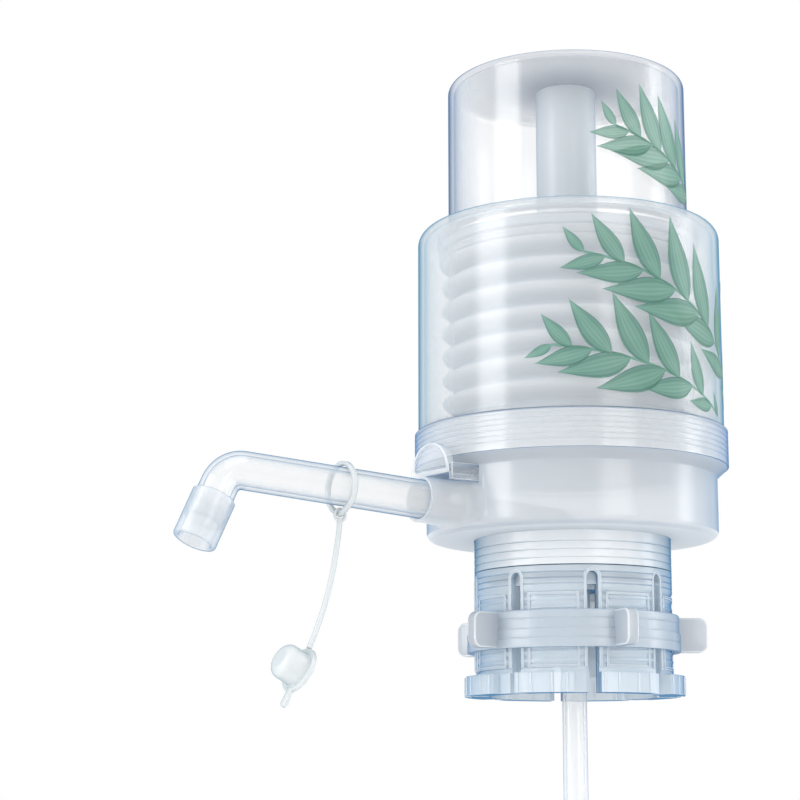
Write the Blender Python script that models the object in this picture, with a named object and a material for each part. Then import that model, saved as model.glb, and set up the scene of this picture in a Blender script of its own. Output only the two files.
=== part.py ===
"""Hand pump that clamps on the neck of a large water bottle.

The pump's own frame: the origin is on the pump's axis, in the plane where the
bottle's lip meets the neck seal. +Z is up, and the spout points along -X.
"""
import math

import bmesh
import bpy
from mathutils import Matrix, Vector

MM = 0.001
DEG = math.pi / 180

# Clearances
TOUCH_GAP = 0.3 * MM
SLIDE_GAP = 0.5 * MM
MERGE = 0.01 * MM
OVERRUN = 2.0 * MM

# Sides of the round pieces
LARGE_SIDES = 40
MEDIUM_SIDES = 28
TUBE_SIDES = 20
SMALL_SIDES = 16
PIN_SIDES = 12

# Neck seal and the bottle's neck
NECK_R = 27.9 * MM
NECK_ROOM = 2.1 * MM
SEAL_W = 9.7 * MM
SEAL_T = 2.0 * MM

# Collar with eight spring fingers
FINGER_WALL = 4.85 * MM
COLLAR_PLATE_T = 2.7 * MM
COLLAR_RIM_H = 2.0 * MM
COLLAR_RIM_WALL = 2.5 * MM
FINGER_DEPTH = 29.2 * MM
FINGERS = 8
FINGER_SLOT_W = 3.3 * MM
SLOT_GROOVE_W = 3.6 * MM
FINGER_SLOT_ANGLE = 16.2 * DEG
SLOT_OPEN_BELOW_PLATE = 1.8 * MM
SLOT_CROWN_ABOVE_PLATE = 2.5 * MM
SLOT_CROWN_DEPTH = 2.4 * MM
SLOT_CROWN_STEPS = 5
TAB_W = 3.8 * MM
TAB_H = 6.8 * MM
TAB_LIP = 1.2 * MM
TAB_GAP_BEFORE_SLOT = 11.0 * DEG
TAB_GAP_AFTER_SLOT = 1.0 * DEG
COLLAR_AIR_HOLE_R = 2.0 * MM
COLLAR_AIR_HOLE_PLACE = 13.0 * MM

# Clamp nut with five finger lugs
NUT_TOP_DEPTH = 8.0 * MM
NUT_H = 12.8 * MM
NUT_WALL = 2.0 * MM
NUT_STEP = 0.4 * MM
NUT_CHAMFER = 0.8 * MM
LUGS = 5
LUG_ANGLE = 39.2 * DEG
LUG_L = 10.15 * MM
LUG_W = 4.0 * MM
LUG_INSET = 0.3 * MM
LUG_CORNER = 3.0 * MM
LUG_CORNER_STEPS = 4

# Base body
SKIRT_H = 11.7 * MM
SKIRT_PLUG_CLEARANCE = 0.35 * MM
SKIRT_PLUG_WALL = 2.5 * MM
BASE_WALL = 2.4 * MM
BASE_FLOOR_T = 1.5 * MM
BASE_SLIDER_ROOM = 0.1 * MM
BASE_EDGE = 3.0 * MM
BASE_EDGE_STEPS = 2
BASE_CHAMFER_H = 3.5 * MM
BASE_CHAMFER_W = 3.75 * MM
LEDGE_T = 2.3 * MM
LEDGE_W = 4.0 * MM
SPIGOT_H = 3.8 * MM
SPIGOT_WALL = 2.2 * MM

# Screw ring, housing sleeve
RING_WALL = 2.7 * MM
RING_H = 13.1 * MM
RING_CHAMFER = 1.2 * MM
RING_OVER_FLANGE = 0.4 * MM
SHOULDER_LEDGE_W = 10.7 * MM
SLEEVE_WALL = 2.2 * MM
SLEEVE_NECK_IN = 1.7 * MM
SLEEVE_H = 74.1 * MM
SLEEVE_TOP_T = 2.2 * MM
SLEEVE_EDGE = 5.0 * MM
SLEEVE_EDGE_STEPS = 3

# Press cap, its column and the plunger plate
CAP_R = 43.5 * MM
CAP_WALL = 2.0 * MM
CAP_TOP_T = 2.0 * MM
CAP_RISE = 56.0 * MM
CAP_EDGE = 3.0 * MM
CAP_EDGE_STEPS = 3
CAP_INNER_EDGE = 1.5 * MM
CAP_FLANGE_W = 4.0 * MM
CAP_FLANGE_T = 2.2 * MM
COLUMN_R = 11.0 * MM
COLUMN_WALL = 1.6 * MM
PLUNGER_INSET = 0.5 * MM
PLUNGER_T = 2.9 * MM

# Bellows and its two clamp rings
FOLDS = 8
FOLD_INSET = 1.0 * MM
FOLD_DEPTH = 6.5 * MM
BELLOWS_WALL = 1.2 * MM
BELLOWS_FLANGE_INSET = 0.8 * MM
BELLOWS_FLANGE_T = 1.2 * MM
BELLOWS_NECK_H = 3.0 * MM
CLAMP_RING_CLEARANCE = 1.3 * MM
CLAMP_RING_T = 2.0 * MM
CLAMP_RING_W = 6.2 * MM

# Valve plate and the two umbrella valves
VALVE_PLATE_T = 2.8 * MM
VALVE_DISC_R = 7.0 * MM
VALVE_DISC_T = 1.0 * MM
VALVE_STEM_R = 1.5 * MM
VALVE_HEAD_R = 2.6 * MM
VALVE_HEAD_H = 1.5 * MM
VALVE_LIFT = 1.2 * MM
VALVE_PORTS = 4
VALVE_PORT_R = 1.3 * MM
VALVE_PORT_PLACE = 4.4 * MM
CHECK_VALVE_FROM_LEDGE = 14.45 * MM
INTAKE_VALVE_FROM_FOLDS = 5.3 * MM

# Outlet port, on an axis that rises a little towards the spout
PORT_TILT = 3.0 * DEG
PORT_BOSS_L = 15.15 * MM
PORT_WALL = 0.95 * MM
FAIRING_HALF_W = 16.5 * MM
FAIRING_ROOM = 0.435 * MM
FAIRING_STEPS = 5
FAIRING_SIDES = 24

# Riser elbow
RISER_NECK_WALL = 1.1 * MM
RISER_SHOULDER_H = 1.5 * MM
RISER_BORE_R = 3.4 * MM
RISER_BEND_R = 7.5 * MM
RISER_DROP = 14.0 * MM
RISER_SOCKET_H = 12.0 * MM
RISER_COLLAR_W = 3.0 * MM
RISER_FLOOR_ROOM = 0.2887 * MM
BEND_STEPS = 5

# Dip tube in two push-fit lengths
DIP_R = 4.3 * MM
DIP_WALL = 1.0 * MM
DIP_LENGTH = 145.0 * MM
DIP_NOTCHES = 2
DIP_NOTCH_WIDTH_SHARE = 0.558
DIP_NOTCH_H = 4.0 * MM
COUPLER_WALL = 1.4 * MM
COUPLER_H = 26.0 * MM
COUPLER_STOP_T = 1.6 * MM

# Spout
SPOUT_R = 6.65 * MM
SPOUT_TAPER = 0.45 * MM
SPOUT_WALL = 1.35 * MM
SPOUT_INSERT = 14.992 * MM
SPOUT_RUN = 75.308 * MM
SPOUT_LEG_TILT = 25.5 * DEG
SPOUT_BEND_R = 9.5 * MM
SPOUT_LEG = 19.2 * MM
PORT_SEAL_T = 2.0 * MM
PORT_SEAL_W = 1.45 * MM
NOZZLE_WALL = 0.7 * MM
NOZZLE_START = 10.5 * MM
NOZZLE_H = 16.4 * MM
NOZZLE_LIP_W = 1.7 * MM
NOZZLE_LIP_EDGE = 0.6 * MM

# Plug ring, strap and dust plug
PLUG_RING_FROM_FACE = 31.608 * MM
PLUG_RING_ROOM = 0.75 * MM
PLUG_RING_WALL = 1.5 * MM
PLUG_RING_T = 2.2 * MM
PLUG_RING_POINT = 0.9 * MM
PLUG_RING_EYE_POINT = 1.1 * MM
PLUG_RING_STEPS = 20
STRAP_R = 0.9 * MM
STRAP_POINTS = 14
STRAP_ROUTE = (
    (0.0 * MM, 0.0 * MM),
    (-0.3 * MM, -4.6 * MM),
    (-1.6 * MM, -12.5 * MM),
    (-3.0 * MM, -19.5 * MM),
    (-5.4 * MM, -28.0 * MM),
    (-8.6 * MM, -36.5 * MM),
    (-11.6 * MM, -43.2 * MM),
)
PLUG_LEAN = 27.0 * DEG
PLUG_FLANGE_W = 1.85 * MM
PLUG_FLANGE_T = 1.5 * MM
PLUG_DOME_R = 5.9 * MM
PLUG_DOME_H = 8.5 * MM
PLUG_DOME_EDGE = 2.9 * MM
PLUG_DOME_STEPS = 4
PLUG_DISH = 0.8 * MM
PLUG_TAB_W = 3.0 * MM
PLUG_TAB_L = 5.5 * MM

# Release slider with its thumb plate, pocket and spring
SLIDER_TRAVEL = 3.5 * MM
SLIDER_HALF_W = 11.5 * MM
SLIDER_BRIDGE_T = 3.4 * MM
SLIDER_RAIL_W = 1.9 * MM
SLIDER_RAIL_H = 2.2 * MM
SLIDER_STANDOUT = 10.85 * MM
SLIDER_CROWN_GAP = 0.5 * MM
SHOULDER_ROOM = 0.32 * MM
SHOULDER_T = 2.0 * MM
SHOULDER_W = 2.0 * MM
THUMB_INSET = 0.3 * MM
THUMB_T = 2.6 * MM
THUMB_RIM = 1.0 * MM
THUMB_DISH = 0.5 * MM
THUMB_STEPS = 16
SPRING_R = 1.8 * MM
SPRING_WIRE_R = 0.3 * MM
SPRING_LENGTH = 11.0 * MM
SPRING_TURNS = 5
SPRING_TURN_POINTS = 9
SPRING_RIB_T = 2.0 * MM
SPRING_RIB_HALF_W = 5.0 * MM
SPRING_RIB_FOOT = 4.2 * MM

# Radii from the bottle's neck outwards
FINGER_INNER_R = NECK_R + NECK_ROOM
SEAL_OUTER_R = FINGER_INNER_R - TOUCH_GAP
SEAL_INNER_R = SEAL_OUTER_R - SEAL_W
COLLAR_R = FINGER_INNER_R + FINGER_WALL
COLLAR_RIM_INNER_R = COLLAR_R - COLLAR_RIM_WALL
TAB_R = COLLAR_R + TAB_W
NUT_INNER_R = COLLAR_R + TOUCH_GAP
NUT_R = NUT_INNER_R + NUT_WALL
LUG_TIP_R = NUT_R + LUG_L
SKIRT_PLUG_R = COLLAR_RIM_INNER_R - SKIRT_PLUG_CLEARANCE
SKIRT_INNER_R = SKIRT_PLUG_R - SKIRT_PLUG_WALL

# Radii from the press cap outwards
SLEEVE_R = CAP_R + SLIDE_GAP + SHOULDER_LEDGE_W
SLEEVE_INNER_R = SLEEVE_R - SLEEVE_WALL
SLEEVE_NECK_R = SLEEVE_R - SLEEVE_NECK_IN
SLEEVE_NECK_INNER_R = SLEEVE_NECK_R - SLEEVE_WALL
RING_INNER_R = SLEEVE_NECK_R + TOUCH_GAP
RING_R = RING_INNER_R + RING_WALL
BASE_FLANGE_R = RING_R - RING_OVER_FLANGE
BASE_R = BASE_FLANGE_R - BASE_CHAMFER_W
BASE_INNER_R = BASE_R - BASE_WALL
LEDGE_INNER_R = BASE_INNER_R - LEDGE_W
SPIGOT_R = SLEEVE_NECK_INNER_R - TOUCH_GAP
SPIGOT_INNER_R = SPIGOT_R - SPIGOT_WALL
VALVE_PLATE_R = SPIGOT_INNER_R - TOUCH_GAP

# Radii from the press cap inwards
CAP_FLANGE_R = CAP_R + CAP_FLANGE_W
PLUNGER_R = CAP_FLANGE_R - PLUNGER_INSET
FOLD_PEAK_R = PLUNGER_R - FOLD_INSET
FOLD_VALLEY_R = FOLD_PEAK_R - FOLD_DEPTH
BELLOWS_FLANGE_R = FOLD_PEAK_R - BELLOWS_FLANGE_INSET
VALVE_HOLE_R = VALVE_STEM_R + TOUCH_GAP
CHECK_VALVE_X = LEDGE_INNER_R - CHECK_VALVE_FROM_LEDGE - VALVE_DISC_R
INTAKE_VALVE_X = FOLD_VALLEY_R - BELLOWS_WALL - INTAKE_VALVE_FROM_FOLDS - VALVE_DISC_R

# Radii of the water's way, from the dip tube and from the spout
DIP_BORE_R = DIP_R - DIP_WALL
COUPLER_INNER_R = DIP_R + TOUCH_GAP
RISER_R = COUPLER_INNER_R + COUPLER_WALL
RISER_HOLE_R = RISER_R + TOUCH_GAP
RISER_NECK_R = RISER_BORE_R + RISER_NECK_WALL
FLOOR_HOLE_R = RISER_BEND_R * math.tan((math.pi / 2 + PORT_TILT) / 2)
SPOUT_END_R = SPOUT_R - SPOUT_TAPER
PORT_BORE_R = SPOUT_R + TOUCH_GAP
PORT_R = PORT_BORE_R + PORT_WALL
PORT_SEAL_R = PORT_BORE_R - TOUCH_GAP
PORT_SEAL_INNER_R = PORT_SEAL_R - PORT_SEAL_W
NOZZLE_SOCKET_R = SPOUT_END_R + TOUCH_GAP
NOZZLE_R = NOZZLE_SOCKET_R + NOZZLE_WALL
NOZZLE_LIP_R = NOZZLE_R - NOZZLE_LIP_W
PLUG_RING_INNER_R = SPOUT_R + PLUG_RING_ROOM
PLUG_RING_R = PLUG_RING_INNER_R + PLUG_RING_WALL
PLUG_RING_TIP = PLUG_RING_R + PLUG_RING_POINT
PLUG_RING_EYE = PLUG_RING_INNER_R + PLUG_RING_EYE_POINT
PLUG_FLANGE_R = PLUG_DOME_R + PLUG_FLANGE_W

# Heights that stack up from the seat plane
COLLAR_PLATE_LOW = SEAL_T + TOUCH_GAP
COLLAR_PLATE_HIGH = COLLAR_PLATE_LOW + COLLAR_PLATE_T
COLLAR_TOP = COLLAR_PLATE_HIGH + COLLAR_RIM_H
SKIRT_LOW = COLLAR_TOP + TOUCH_GAP
BASE_LOW = SKIRT_LOW + SKIRT_H
BASE_FLOOR_TOP = BASE_LOW + BASE_FLOOR_T
PORT_CENTRE_Z = BASE_FLOOR_TOP + RISER_FLOOR_ROOM + RISER_NECK_R
PORT_FACE_REACH = BASE_R + PORT_BOSS_L
PORT_FACE_Z = PORT_CENTRE_Z + PORT_FACE_REACH * math.tan(PORT_TILT)
SLIDER_FLOOR = PORT_FACE_Z + PORT_R + SLIDER_CROWN_GAP
SLIDER_TOP = SLIDER_FLOOR + SLIDER_BRIDGE_T
BASE_SIDE_TOP = SLIDER_TOP + BASE_SLIDER_ROOM
FLANGE_TOP = BASE_SIDE_TOP + BASE_CHAMFER_H
RING_LOW = FLANGE_TOP + TOUCH_GAP
RING_TOP = RING_LOW + RING_H
SLEEVE_SHOULDER = RING_TOP + TOUCH_GAP
SLEEVE_TOP = SLEEVE_SHOULDER + SLEEVE_H
SLEEVE_LIP_LOW = SLEEVE_TOP - SLEEVE_TOP_T
CAP_TOP = SLEEVE_TOP + CAP_RISE
CAP_FLANGE_TOP = SLEEVE_LIP_LOW - TOUCH_GAP
CAP_LOW = CAP_FLANGE_TOP - CAP_FLANGE_T
PLUNGER_TOP = CAP_LOW - TOUCH_GAP
PLUNGER_LOW = PLUNGER_TOP - PLUNGER_T
VALVE_PLATE_LOW = FLANGE_TOP + TOUCH_GAP
VALVE_PLATE_TOP = VALVE_PLATE_LOW + VALVE_PLATE_T
BELLOWS_LOW = VALVE_PLATE_TOP + TOUCH_GAP
BELLOWS_HIGH = PLUNGER_LOW - TOUCH_GAP

# The port's axis, as a distance outwards from the pump's axis
PORT_OUT = Vector((-math.cos(PORT_TILT), 0, math.sin(PORT_TILT)))
PORT_UP = Vector((math.sin(PORT_TILT), 0, math.cos(PORT_TILT)))
PORT_START = Vector((0, 0, PORT_CENTRE_Z))
PORT_FACE_S = PORT_FACE_REACH / math.cos(PORT_TILT)
SPOUT_START = PORT_FACE_S - SPOUT_INSERT
PORT_SEAL_START = SPOUT_START - TOUCH_GAP - PORT_SEAL_T
RISER_ARM_REACH = PORT_SEAL_START - TOUCH_GAP
SPOUT_ELBOW_REACH = PORT_FACE_S + SPOUT_RUN
PLUG_RING_REACH = PORT_FACE_S + PLUG_RING_FROM_FACE

# The slider's reach, from the pump's axis
SHOULDER_HALF_W = SLIDER_HALF_W + SHOULDER_W
SHOULDER_REACH = math.sqrt(BASE_INNER_R ** 2 - SHOULDER_HALF_W ** 2) - SHOULDER_ROOM
SLIDER_INNER_REACH = SHOULDER_REACH - SHOULDER_T
FAIRING_INNER_REACH = SHOULDER_REACH + PORT_R * math.sin(PORT_TILT) + FAIRING_ROOM
SLIDER_OUTER_REACH = BASE_R + SLIDER_STANDOUT
THUMB_R = SLIDER_HALF_W - THUMB_INSET


def port_point(distance):
    """A point on the port's axis, that far out from the pump's axis."""
    return PORT_START + distance * PORT_OUT


# Small helpers for the scene


def clear_scene():
    for item in list(bpy.data.objects):
        bpy.data.objects.remove(item, do_unlink=True)
    for mesh in list(bpy.data.meshes):
        bpy.data.meshes.remove(mesh)


def plastic(name, colour, roughness, transmission=0.0):
    """A Principled material of its own for one piece."""
    material = bpy.data.materials.new(name)
    material.use_nodes = True
    shader = material.node_tree.nodes["Principled BSDF"]
    shader.inputs["Base Color"].default_value = (*colour, 1.0)
    shader.inputs["Roughness"].default_value = roughness
    shader.inputs["Metallic"].default_value = 0.0
    shader.inputs["Transmission Weight"].default_value = transmission
    return material


CLEAR = ((0.86, 0.91, 0.95), 0.12, 0.8)
FROSTED = ((0.80, 0.87, 0.93), 0.35, 0.5)
MILKY = ((0.84, 0.89, 0.93), 0.30, 0.2)
LUG_WHITE = ((0.80, 0.83, 0.86), 0.40, 0.1)
SILICONE = ((0.82, 0.90, 0.90), 0.55, 0.1)
WHITE_RUBBER = ((0.85, 0.86, 0.86), 0.60, 0.0)
STEEL = ((0.60, 0.60, 0.62), 0.30, 0.0)


def body_empty(name, place):
    """The empty that carries one moving group, on its joint's axis."""
    empty = bpy.data.objects.new(name, None)
    empty.location = place
    bpy.context.scene.collection.objects.link(empty)
    return empty


def add_piece(name, mesh, finish, carrier):
    """One named object, with its origin at its carrier's place."""
    piece = bpy.data.objects.new(name, mesh)
    bpy.context.scene.collection.objects.link(piece)
    mesh.transform(Matrix.Translation(-carrier.location))
    piece.parent = carrier
    mesh.materials.append(plastic(name + "_finish", *finish))
    return piece


def add_cutter(name, mesh, carrier):
    """A helper solid for a Boolean, left out of the pump itself."""
    cutter = bpy.data.objects.new(name, mesh)
    bpy.context.scene.collection.objects.link(cutter)
    mesh.transform(Matrix.Translation(-carrier.location))
    cutter.parent = carrier
    cutter.hide_render = True
    cutter.display_type = "WIRE"
    return cutter


def boolean(piece, operation, helper):
    """Join, or cut, with the EXACT solver."""
    modifier = piece.modifiers.new(helper.name, "BOOLEAN")
    modifier.operation = operation
    modifier.solver = "EXACT"
    modifier.object = helper


def finish_mesh(name, shape, smooth=True):
    """Turn a bmesh into a mesh with outward faces."""
    bmesh.ops.recalc_face_normals(shape, faces=shape.faces)
    mesh = bpy.data.meshes.new(name)
    shape.to_mesh(mesh)
    shape.free()
    if smooth:
        mesh.shade_smooth()
        mesh.set_sharp_from_angle(angle=SHARP_ANGLE)
    return mesh


SHARP_ANGLE = 35 * DEG


# Shape makers


def arc_points(centre, radius, start, end, steps):
    """Points of a round corner in a flat outline, both ends included."""
    points = []
    for i in range(steps + 1):
        angle = start + (end - start) * i / steps
        points.append((centre[0] + radius * math.cos(angle), centre[1] + radius * math.sin(angle)))
    return points


def turned(name, profile, sides, place=(0, 0, 0), closed=True):
    """Spin an (r, z) profile about Z. An open profile starts and ends on the axis."""
    shape = bmesh.new()
    corners = [shape.verts.new((r, 0, z)) for r, z in profile]
    edges = [shape.edges.new(pair) for pair in zip(corners, corners[1:])]
    if closed:
        edges.append(shape.edges.new((corners[-1], corners[0])))
    bmesh.ops.spin(
        shape,
        geom=corners + edges,
        cent=(0, 0, 0),
        axis=(0, 0, 1),
        angle=2 * math.pi,
        steps=sides,
        use_duplicate=False,
    )
    bmesh.ops.remove_doubles(shape, verts=shape.verts, dist=MERGE)
    bmesh.ops.translate(shape, vec=Vector(place), verts=shape.verts)
    return finish_mesh(name, shape)


def prism_into(shape, outline, low, high, to_space):
    """Extrude a flat outline between two levels into an open bmesh."""
    bottom = [shape.verts.new(to_space(u, v, low)) for u, v in outline]
    face = shape.faces.new(bottom)
    extruded = bmesh.ops.extrude_face_region(shape, geom=[face])
    top = [item for item in extruded["geom"] if isinstance(item, bmesh.types.BMVert)]
    shift = to_space(0, 0, high) - to_space(0, 0, low)
    bmesh.ops.translate(shape, vec=shift, verts=top)
    return face


def prism(name, outline, low, high, to_space, smooth=False):
    shape = bmesh.new()
    prism_into(shape, outline, low, high, to_space)
    return finish_mesh(name, shape, smooth)


def rectangle(low_u, high_u, low_v, high_v):
    return [(low_u, low_v), (high_u, low_v), (high_u, high_v), (low_u, high_v)]


def upright(u, v, w):
    """Outline in X and Y, extruded along Z."""
    return Vector((u, v, w))


def along_x(u, v, w):
    """Outline in Y and Z, extruded along X."""
    return Vector((w, u, v))


def along_port(u, v, w):
    """Outline across the port's axis, extruded outwards along it."""
    return port_point(w) + u * Vector((0, 1, 0)) + v * PORT_UP


def radial(angle):
    """Outline across a spoke (u sideways, v up), extruded outwards along it."""
    out = Vector((math.cos(angle), math.sin(angle), 0))
    side = Vector((-math.sin(angle), math.cos(angle), 0))

    def to_space(u, v, w):
        return w * out + u * side + Vector((0, 0, v))

    return to_space


def spoke_plane(angle):
    """Outline in a spoke's plane (u outwards, v up), extruded sideways."""
    out = Vector((math.cos(angle), math.sin(angle), 0))
    side = Vector((-math.sin(angle), math.cos(angle), 0))

    def to_space(u, v, w):
        return u * out + w * side + Vector((0, 0, v))

    return to_space


def ring_of_points(shape, centre, out, radius, sides):
    """One round section, square to the direction out, in the plane y = 0."""
    across = Vector((0, 1, 0))
    up = out.cross(across).normalized()
    ring = []
    for i in range(sides):
        angle = 2 * math.pi * i / sides
        ring.append(shape.verts.new(centre + radius * (math.cos(angle) * across + math.sin(angle) * up)))
    return ring


def bridge(shape, ring_a, ring_b):
    """Quads between two rings with the same number of points."""
    count = len(ring_a)
    for i in range(count):
        j = (i + 1) % count
        shape.faces.new((ring_a[i], ring_a[j], ring_b[j], ring_b[i]))


def tube_between(name, outer, inner, sides):
    """A closed tube. outer and inner list (centre, direction, radius) from end to end."""
    shape = bmesh.new()
    outside = [ring_of_points(shape, *station, sides) for station in outer]
    inside = [ring_of_points(shape, *station, sides) for station in inner]
    for rings in (outside, inside):
        for ring_a, ring_b in zip(rings, rings[1:]):
            bridge(shape, ring_a, ring_b)
    bridge(shape, outside[0], inside[0])
    bridge(shape, outside[-1], inside[-1])
    return finish_mesh(name, shape)


def bend_stations(corner, before, after, radius, steps):
    """Centres and directions along a round bend that joins two straight runs."""
    turn = before.angle(after)
    tangent = radius * math.tan(turn / 2)
    start = corner - tangent * before
    inward = (after - before * before.dot(after)).normalized()
    centre = start + radius * inward
    stations = []
    for i in range(steps + 1):
        angle = turn * i / steps
        direction = math.cos(angle) * before + math.sin(angle) * inward
        place = centre + radius * (math.sin(angle) * before - math.cos(angle) * inward)
        stations.append((place, direction))
    return stations


# Neck seal, collar and clamp nut


def build_neck_seal(carrier):
    profile = rectangle(SEAL_INNER_R, SEAL_OUTER_R, 0, SEAL_T)
    add_piece("neck_seal", turned("neck_seal", profile, MEDIUM_SIDES), WHITE_RUBBER, carrier)


def finger_slot_angles():
    return [FINGER_SLOT_ANGLE + 2 * math.pi * i / FINGERS for i in range(FINGERS)]


def build_collar(carrier):
    low = -FINGER_DEPTH - TAB_H
    profile = [
        (RISER_HOLE_R, COLLAR_PLATE_LOW),
        (FINGER_INNER_R, COLLAR_PLATE_LOW),
        (FINGER_INNER_R, low),
        (TAB_R, low),
        (TAB_R, -FINGER_DEPTH),
        (COLLAR_R, -FINGER_DEPTH),
        (COLLAR_R, COLLAR_TOP),
        (COLLAR_RIM_INNER_R, COLLAR_TOP),
        (COLLAR_RIM_INNER_R, COLLAR_PLATE_HIGH),
        (RISER_HOLE_R, COLLAR_PLATE_HIGH),
    ]
    collar = add_piece("collet_collar", turned("collet_collar", profile, LARGE_SIDES), CLEAR, carrier)

    slots = bmesh.new()
    gaps = bmesh.new()
    groove_half = SLOT_GROOVE_W / 2
    crown_z = COLLAR_PLATE_LOW + SLOT_CROWN_ABOVE_PLATE - groove_half
    slot_half = FINGER_SLOT_W / 2
    slot_low = low - OVERRUN
    deep = rectangle(-slot_half, slot_half, slot_low, COLLAR_PLATE_LOW - SLOT_OPEN_BELOW_PLATE)
    crown = arc_points((0, crown_z), groove_half, 0, math.pi, SLOT_CROWN_STEPS)
    crown += [(-groove_half, slot_low - OVERRUN), (groove_half, slot_low - OVERRUN)]
    for angle in finger_slot_angles():
        prism_into(slots, deep, FINGER_INNER_R - OVERRUN, TAB_R + OVERRUN, radial(angle))
        start = angle - TAB_GAP_BEFORE_SLOT
        end = angle + TAB_GAP_AFTER_SLOT
        wedge = []
        for turn, reach in (
            (start, COLLAR_R + TAB_LIP),
            (start, TAB_R + OVERRUN),
            (end, TAB_R + OVERRUN),
            (end, COLLAR_R + TAB_LIP),
        ):
            wedge.append((reach * math.cos(turn), reach * math.sin(turn)))
        prism_into(gaps, wedge, slot_low, -FINGER_DEPTH + OVERRUN, upright)
    crowns = bmesh.new()
    for angle in finger_slot_angles():
        prism_into(crowns, crown, COLLAR_R - SLOT_CROWN_DEPTH, TAB_R + OVERRUN, radial(angle))
    air = turned(
        "air_hole_cutter",
        [(0, COLLAR_PLATE_LOW - OVERRUN), (COLLAR_AIR_HOLE_R, COLLAR_PLATE_LOW - OVERRUN),
         (COLLAR_AIR_HOLE_R, COLLAR_PLATE_HIGH + OVERRUN), (0, COLLAR_PLATE_HIGH + OVERRUN)],
        PIN_SIDES,
        place=(COLLAR_AIR_HOLE_PLACE, 0, 0),
        closed=False,
    )
    boolean(collar, "DIFFERENCE", add_cutter("slot_cutter", finish_mesh("slot_cutter", slots, False), carrier))
    boolean(collar, "DIFFERENCE", add_cutter("crown_cutter", finish_mesh("crown_cutter", crowns, False), carrier))
    boolean(collar, "DIFFERENCE", add_cutter("tab_gap_cutter", finish_mesh("tab_gap_cutter", gaps, False), carrier))
    boolean(collar, "DIFFERENCE", add_cutter("air_hole_cutter", air, carrier))


def build_clamp_nut(carrier):
    top = -NUT_TOP_DEPTH
    low = top - NUT_H
    middle = low + NUT_H / 2
    profile = [
        (NUT_INNER_R, low),
        (NUT_R + NUT_STEP, low),
        (NUT_R + NUT_STEP, middle),
        (NUT_R, middle + NUT_STEP),
        (NUT_R, top - NUT_CHAMFER),
        (NUT_R - NUT_CHAMFER, top),
        (NUT_INNER_R, top),
    ]
    nut = add_piece("clamp_nut", turned("clamp_nut", profile, LARGE_SIDES), LUG_WHITE, carrier)

    root_r = NUT_INNER_R + NUT_WALL / 2
    lug_low = low + LUG_INSET
    lug_top = top - LUG_INSET
    corner_r = LUG_TIP_R - LUG_CORNER
    outline = [(root_r, lug_low)]
    outline += arc_points((corner_r, lug_low + LUG_CORNER), LUG_CORNER, -math.pi / 2, 0, LUG_CORNER_STEPS)
    outline += arc_points((corner_r, lug_top - LUG_CORNER), LUG_CORNER, 0, math.pi / 2, LUG_CORNER_STEPS)
    outline += [(root_r, lug_top)]
    lugs = bmesh.new()
    for i in range(LUGS):
        angle = LUG_ANGLE + 2 * math.pi * i / LUGS
        prism_into(lugs, outline, -LUG_W / 2, LUG_W / 2, spoke_plane(angle))
    boolean(nut, "UNION", add_cutter("lug_adder", finish_mesh("lug_adder", lugs, False), carrier))


# Base body with its outlet port


def build_base(carrier):
    profile = [
        (FLOOR_HOLE_R, BASE_LOW),
        (SKIRT_INNER_R, BASE_LOW),
        (SKIRT_INNER_R, COLLAR_PLATE_HIGH + TOUCH_GAP),
        (SKIRT_PLUG_R, COLLAR_PLATE_HIGH + TOUCH_GAP),
        (SKIRT_PLUG_R, SKIRT_LOW),
        (COLLAR_R, SKIRT_LOW),
        (COLLAR_R, BASE_LOW),
    ]
    edge_centre = (BASE_R - BASE_EDGE, BASE_LOW + BASE_EDGE)
    profile += arc_points(edge_centre, BASE_EDGE, -math.pi / 2, 0, BASE_EDGE_STEPS)
    profile += [
        (BASE_R, BASE_SIDE_TOP),
        (BASE_FLANGE_R, FLANGE_TOP),
        (SPIGOT_R, FLANGE_TOP),
        (SPIGOT_R, FLANGE_TOP + SPIGOT_H),
        (SPIGOT_INNER_R, FLANGE_TOP + SPIGOT_H),
        (SPIGOT_INNER_R, FLANGE_TOP),
        (LEDGE_INNER_R, FLANGE_TOP),
        (LEDGE_INNER_R, FLANGE_TOP - LEDGE_T),
        (BASE_INNER_R, FLANGE_TOP - LEDGE_T),
        (BASE_INNER_R, BASE_FLOOR_TOP),
        (FLOOR_HOLE_R, BASE_FLOOR_TOP),
    ]
    base = add_piece("base_body", turned("base_body", profile, LARGE_SIDES), MILKY, carrier)
    boolean(base, "UNION", add_cutter("fairing_adder", fairing_mesh(), carrier))
    boolean(base, "DIFFERENCE", add_cutter("port_bore_cutter", port_bore_mesh(), carrier))
    boolean(base, "DIFFERENCE", add_cutter("slider_pocket_cutter", slider_pocket_mesh(), carrier))


def fairing_mesh():
    """The port's boss: round at its face, and flared sideways into the base's wall."""
    shape = bmesh.new()
    inner_s = FAIRING_INNER_REACH / math.cos(PORT_TILT)
    rings = []
    for i in range(FAIRING_STEPS + 1):
        share = i / FAIRING_STEPS
        distance = PORT_FACE_S + (inner_s - PORT_FACE_S) * share
        flare_share = share * share * (3 - 2 * share)
        half_w = PORT_R + (FAIRING_HALF_W - PORT_R) * flare_share
        power = 1 / (1 + flare_share)
        ring = []
        for k in range(FAIRING_SIDES):
            angle = 2 * math.pi * k / FAIRING_SIDES
            u = math.copysign(abs(math.cos(angle)) ** power, math.cos(angle)) * half_w
            v = math.copysign(abs(math.sin(angle)) ** power, math.sin(angle)) * PORT_R
            ring.append(shape.verts.new(along_port(u, v, distance)))
        rings.append(ring)
    for ring_a, ring_b in zip(rings, rings[1:]):
        bridge(shape, ring_a, ring_b)
    shape.faces.new(rings[0])
    shape.faces.new(rings[-1])
    return finish_mesh("fairing_adder", shape)


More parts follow.
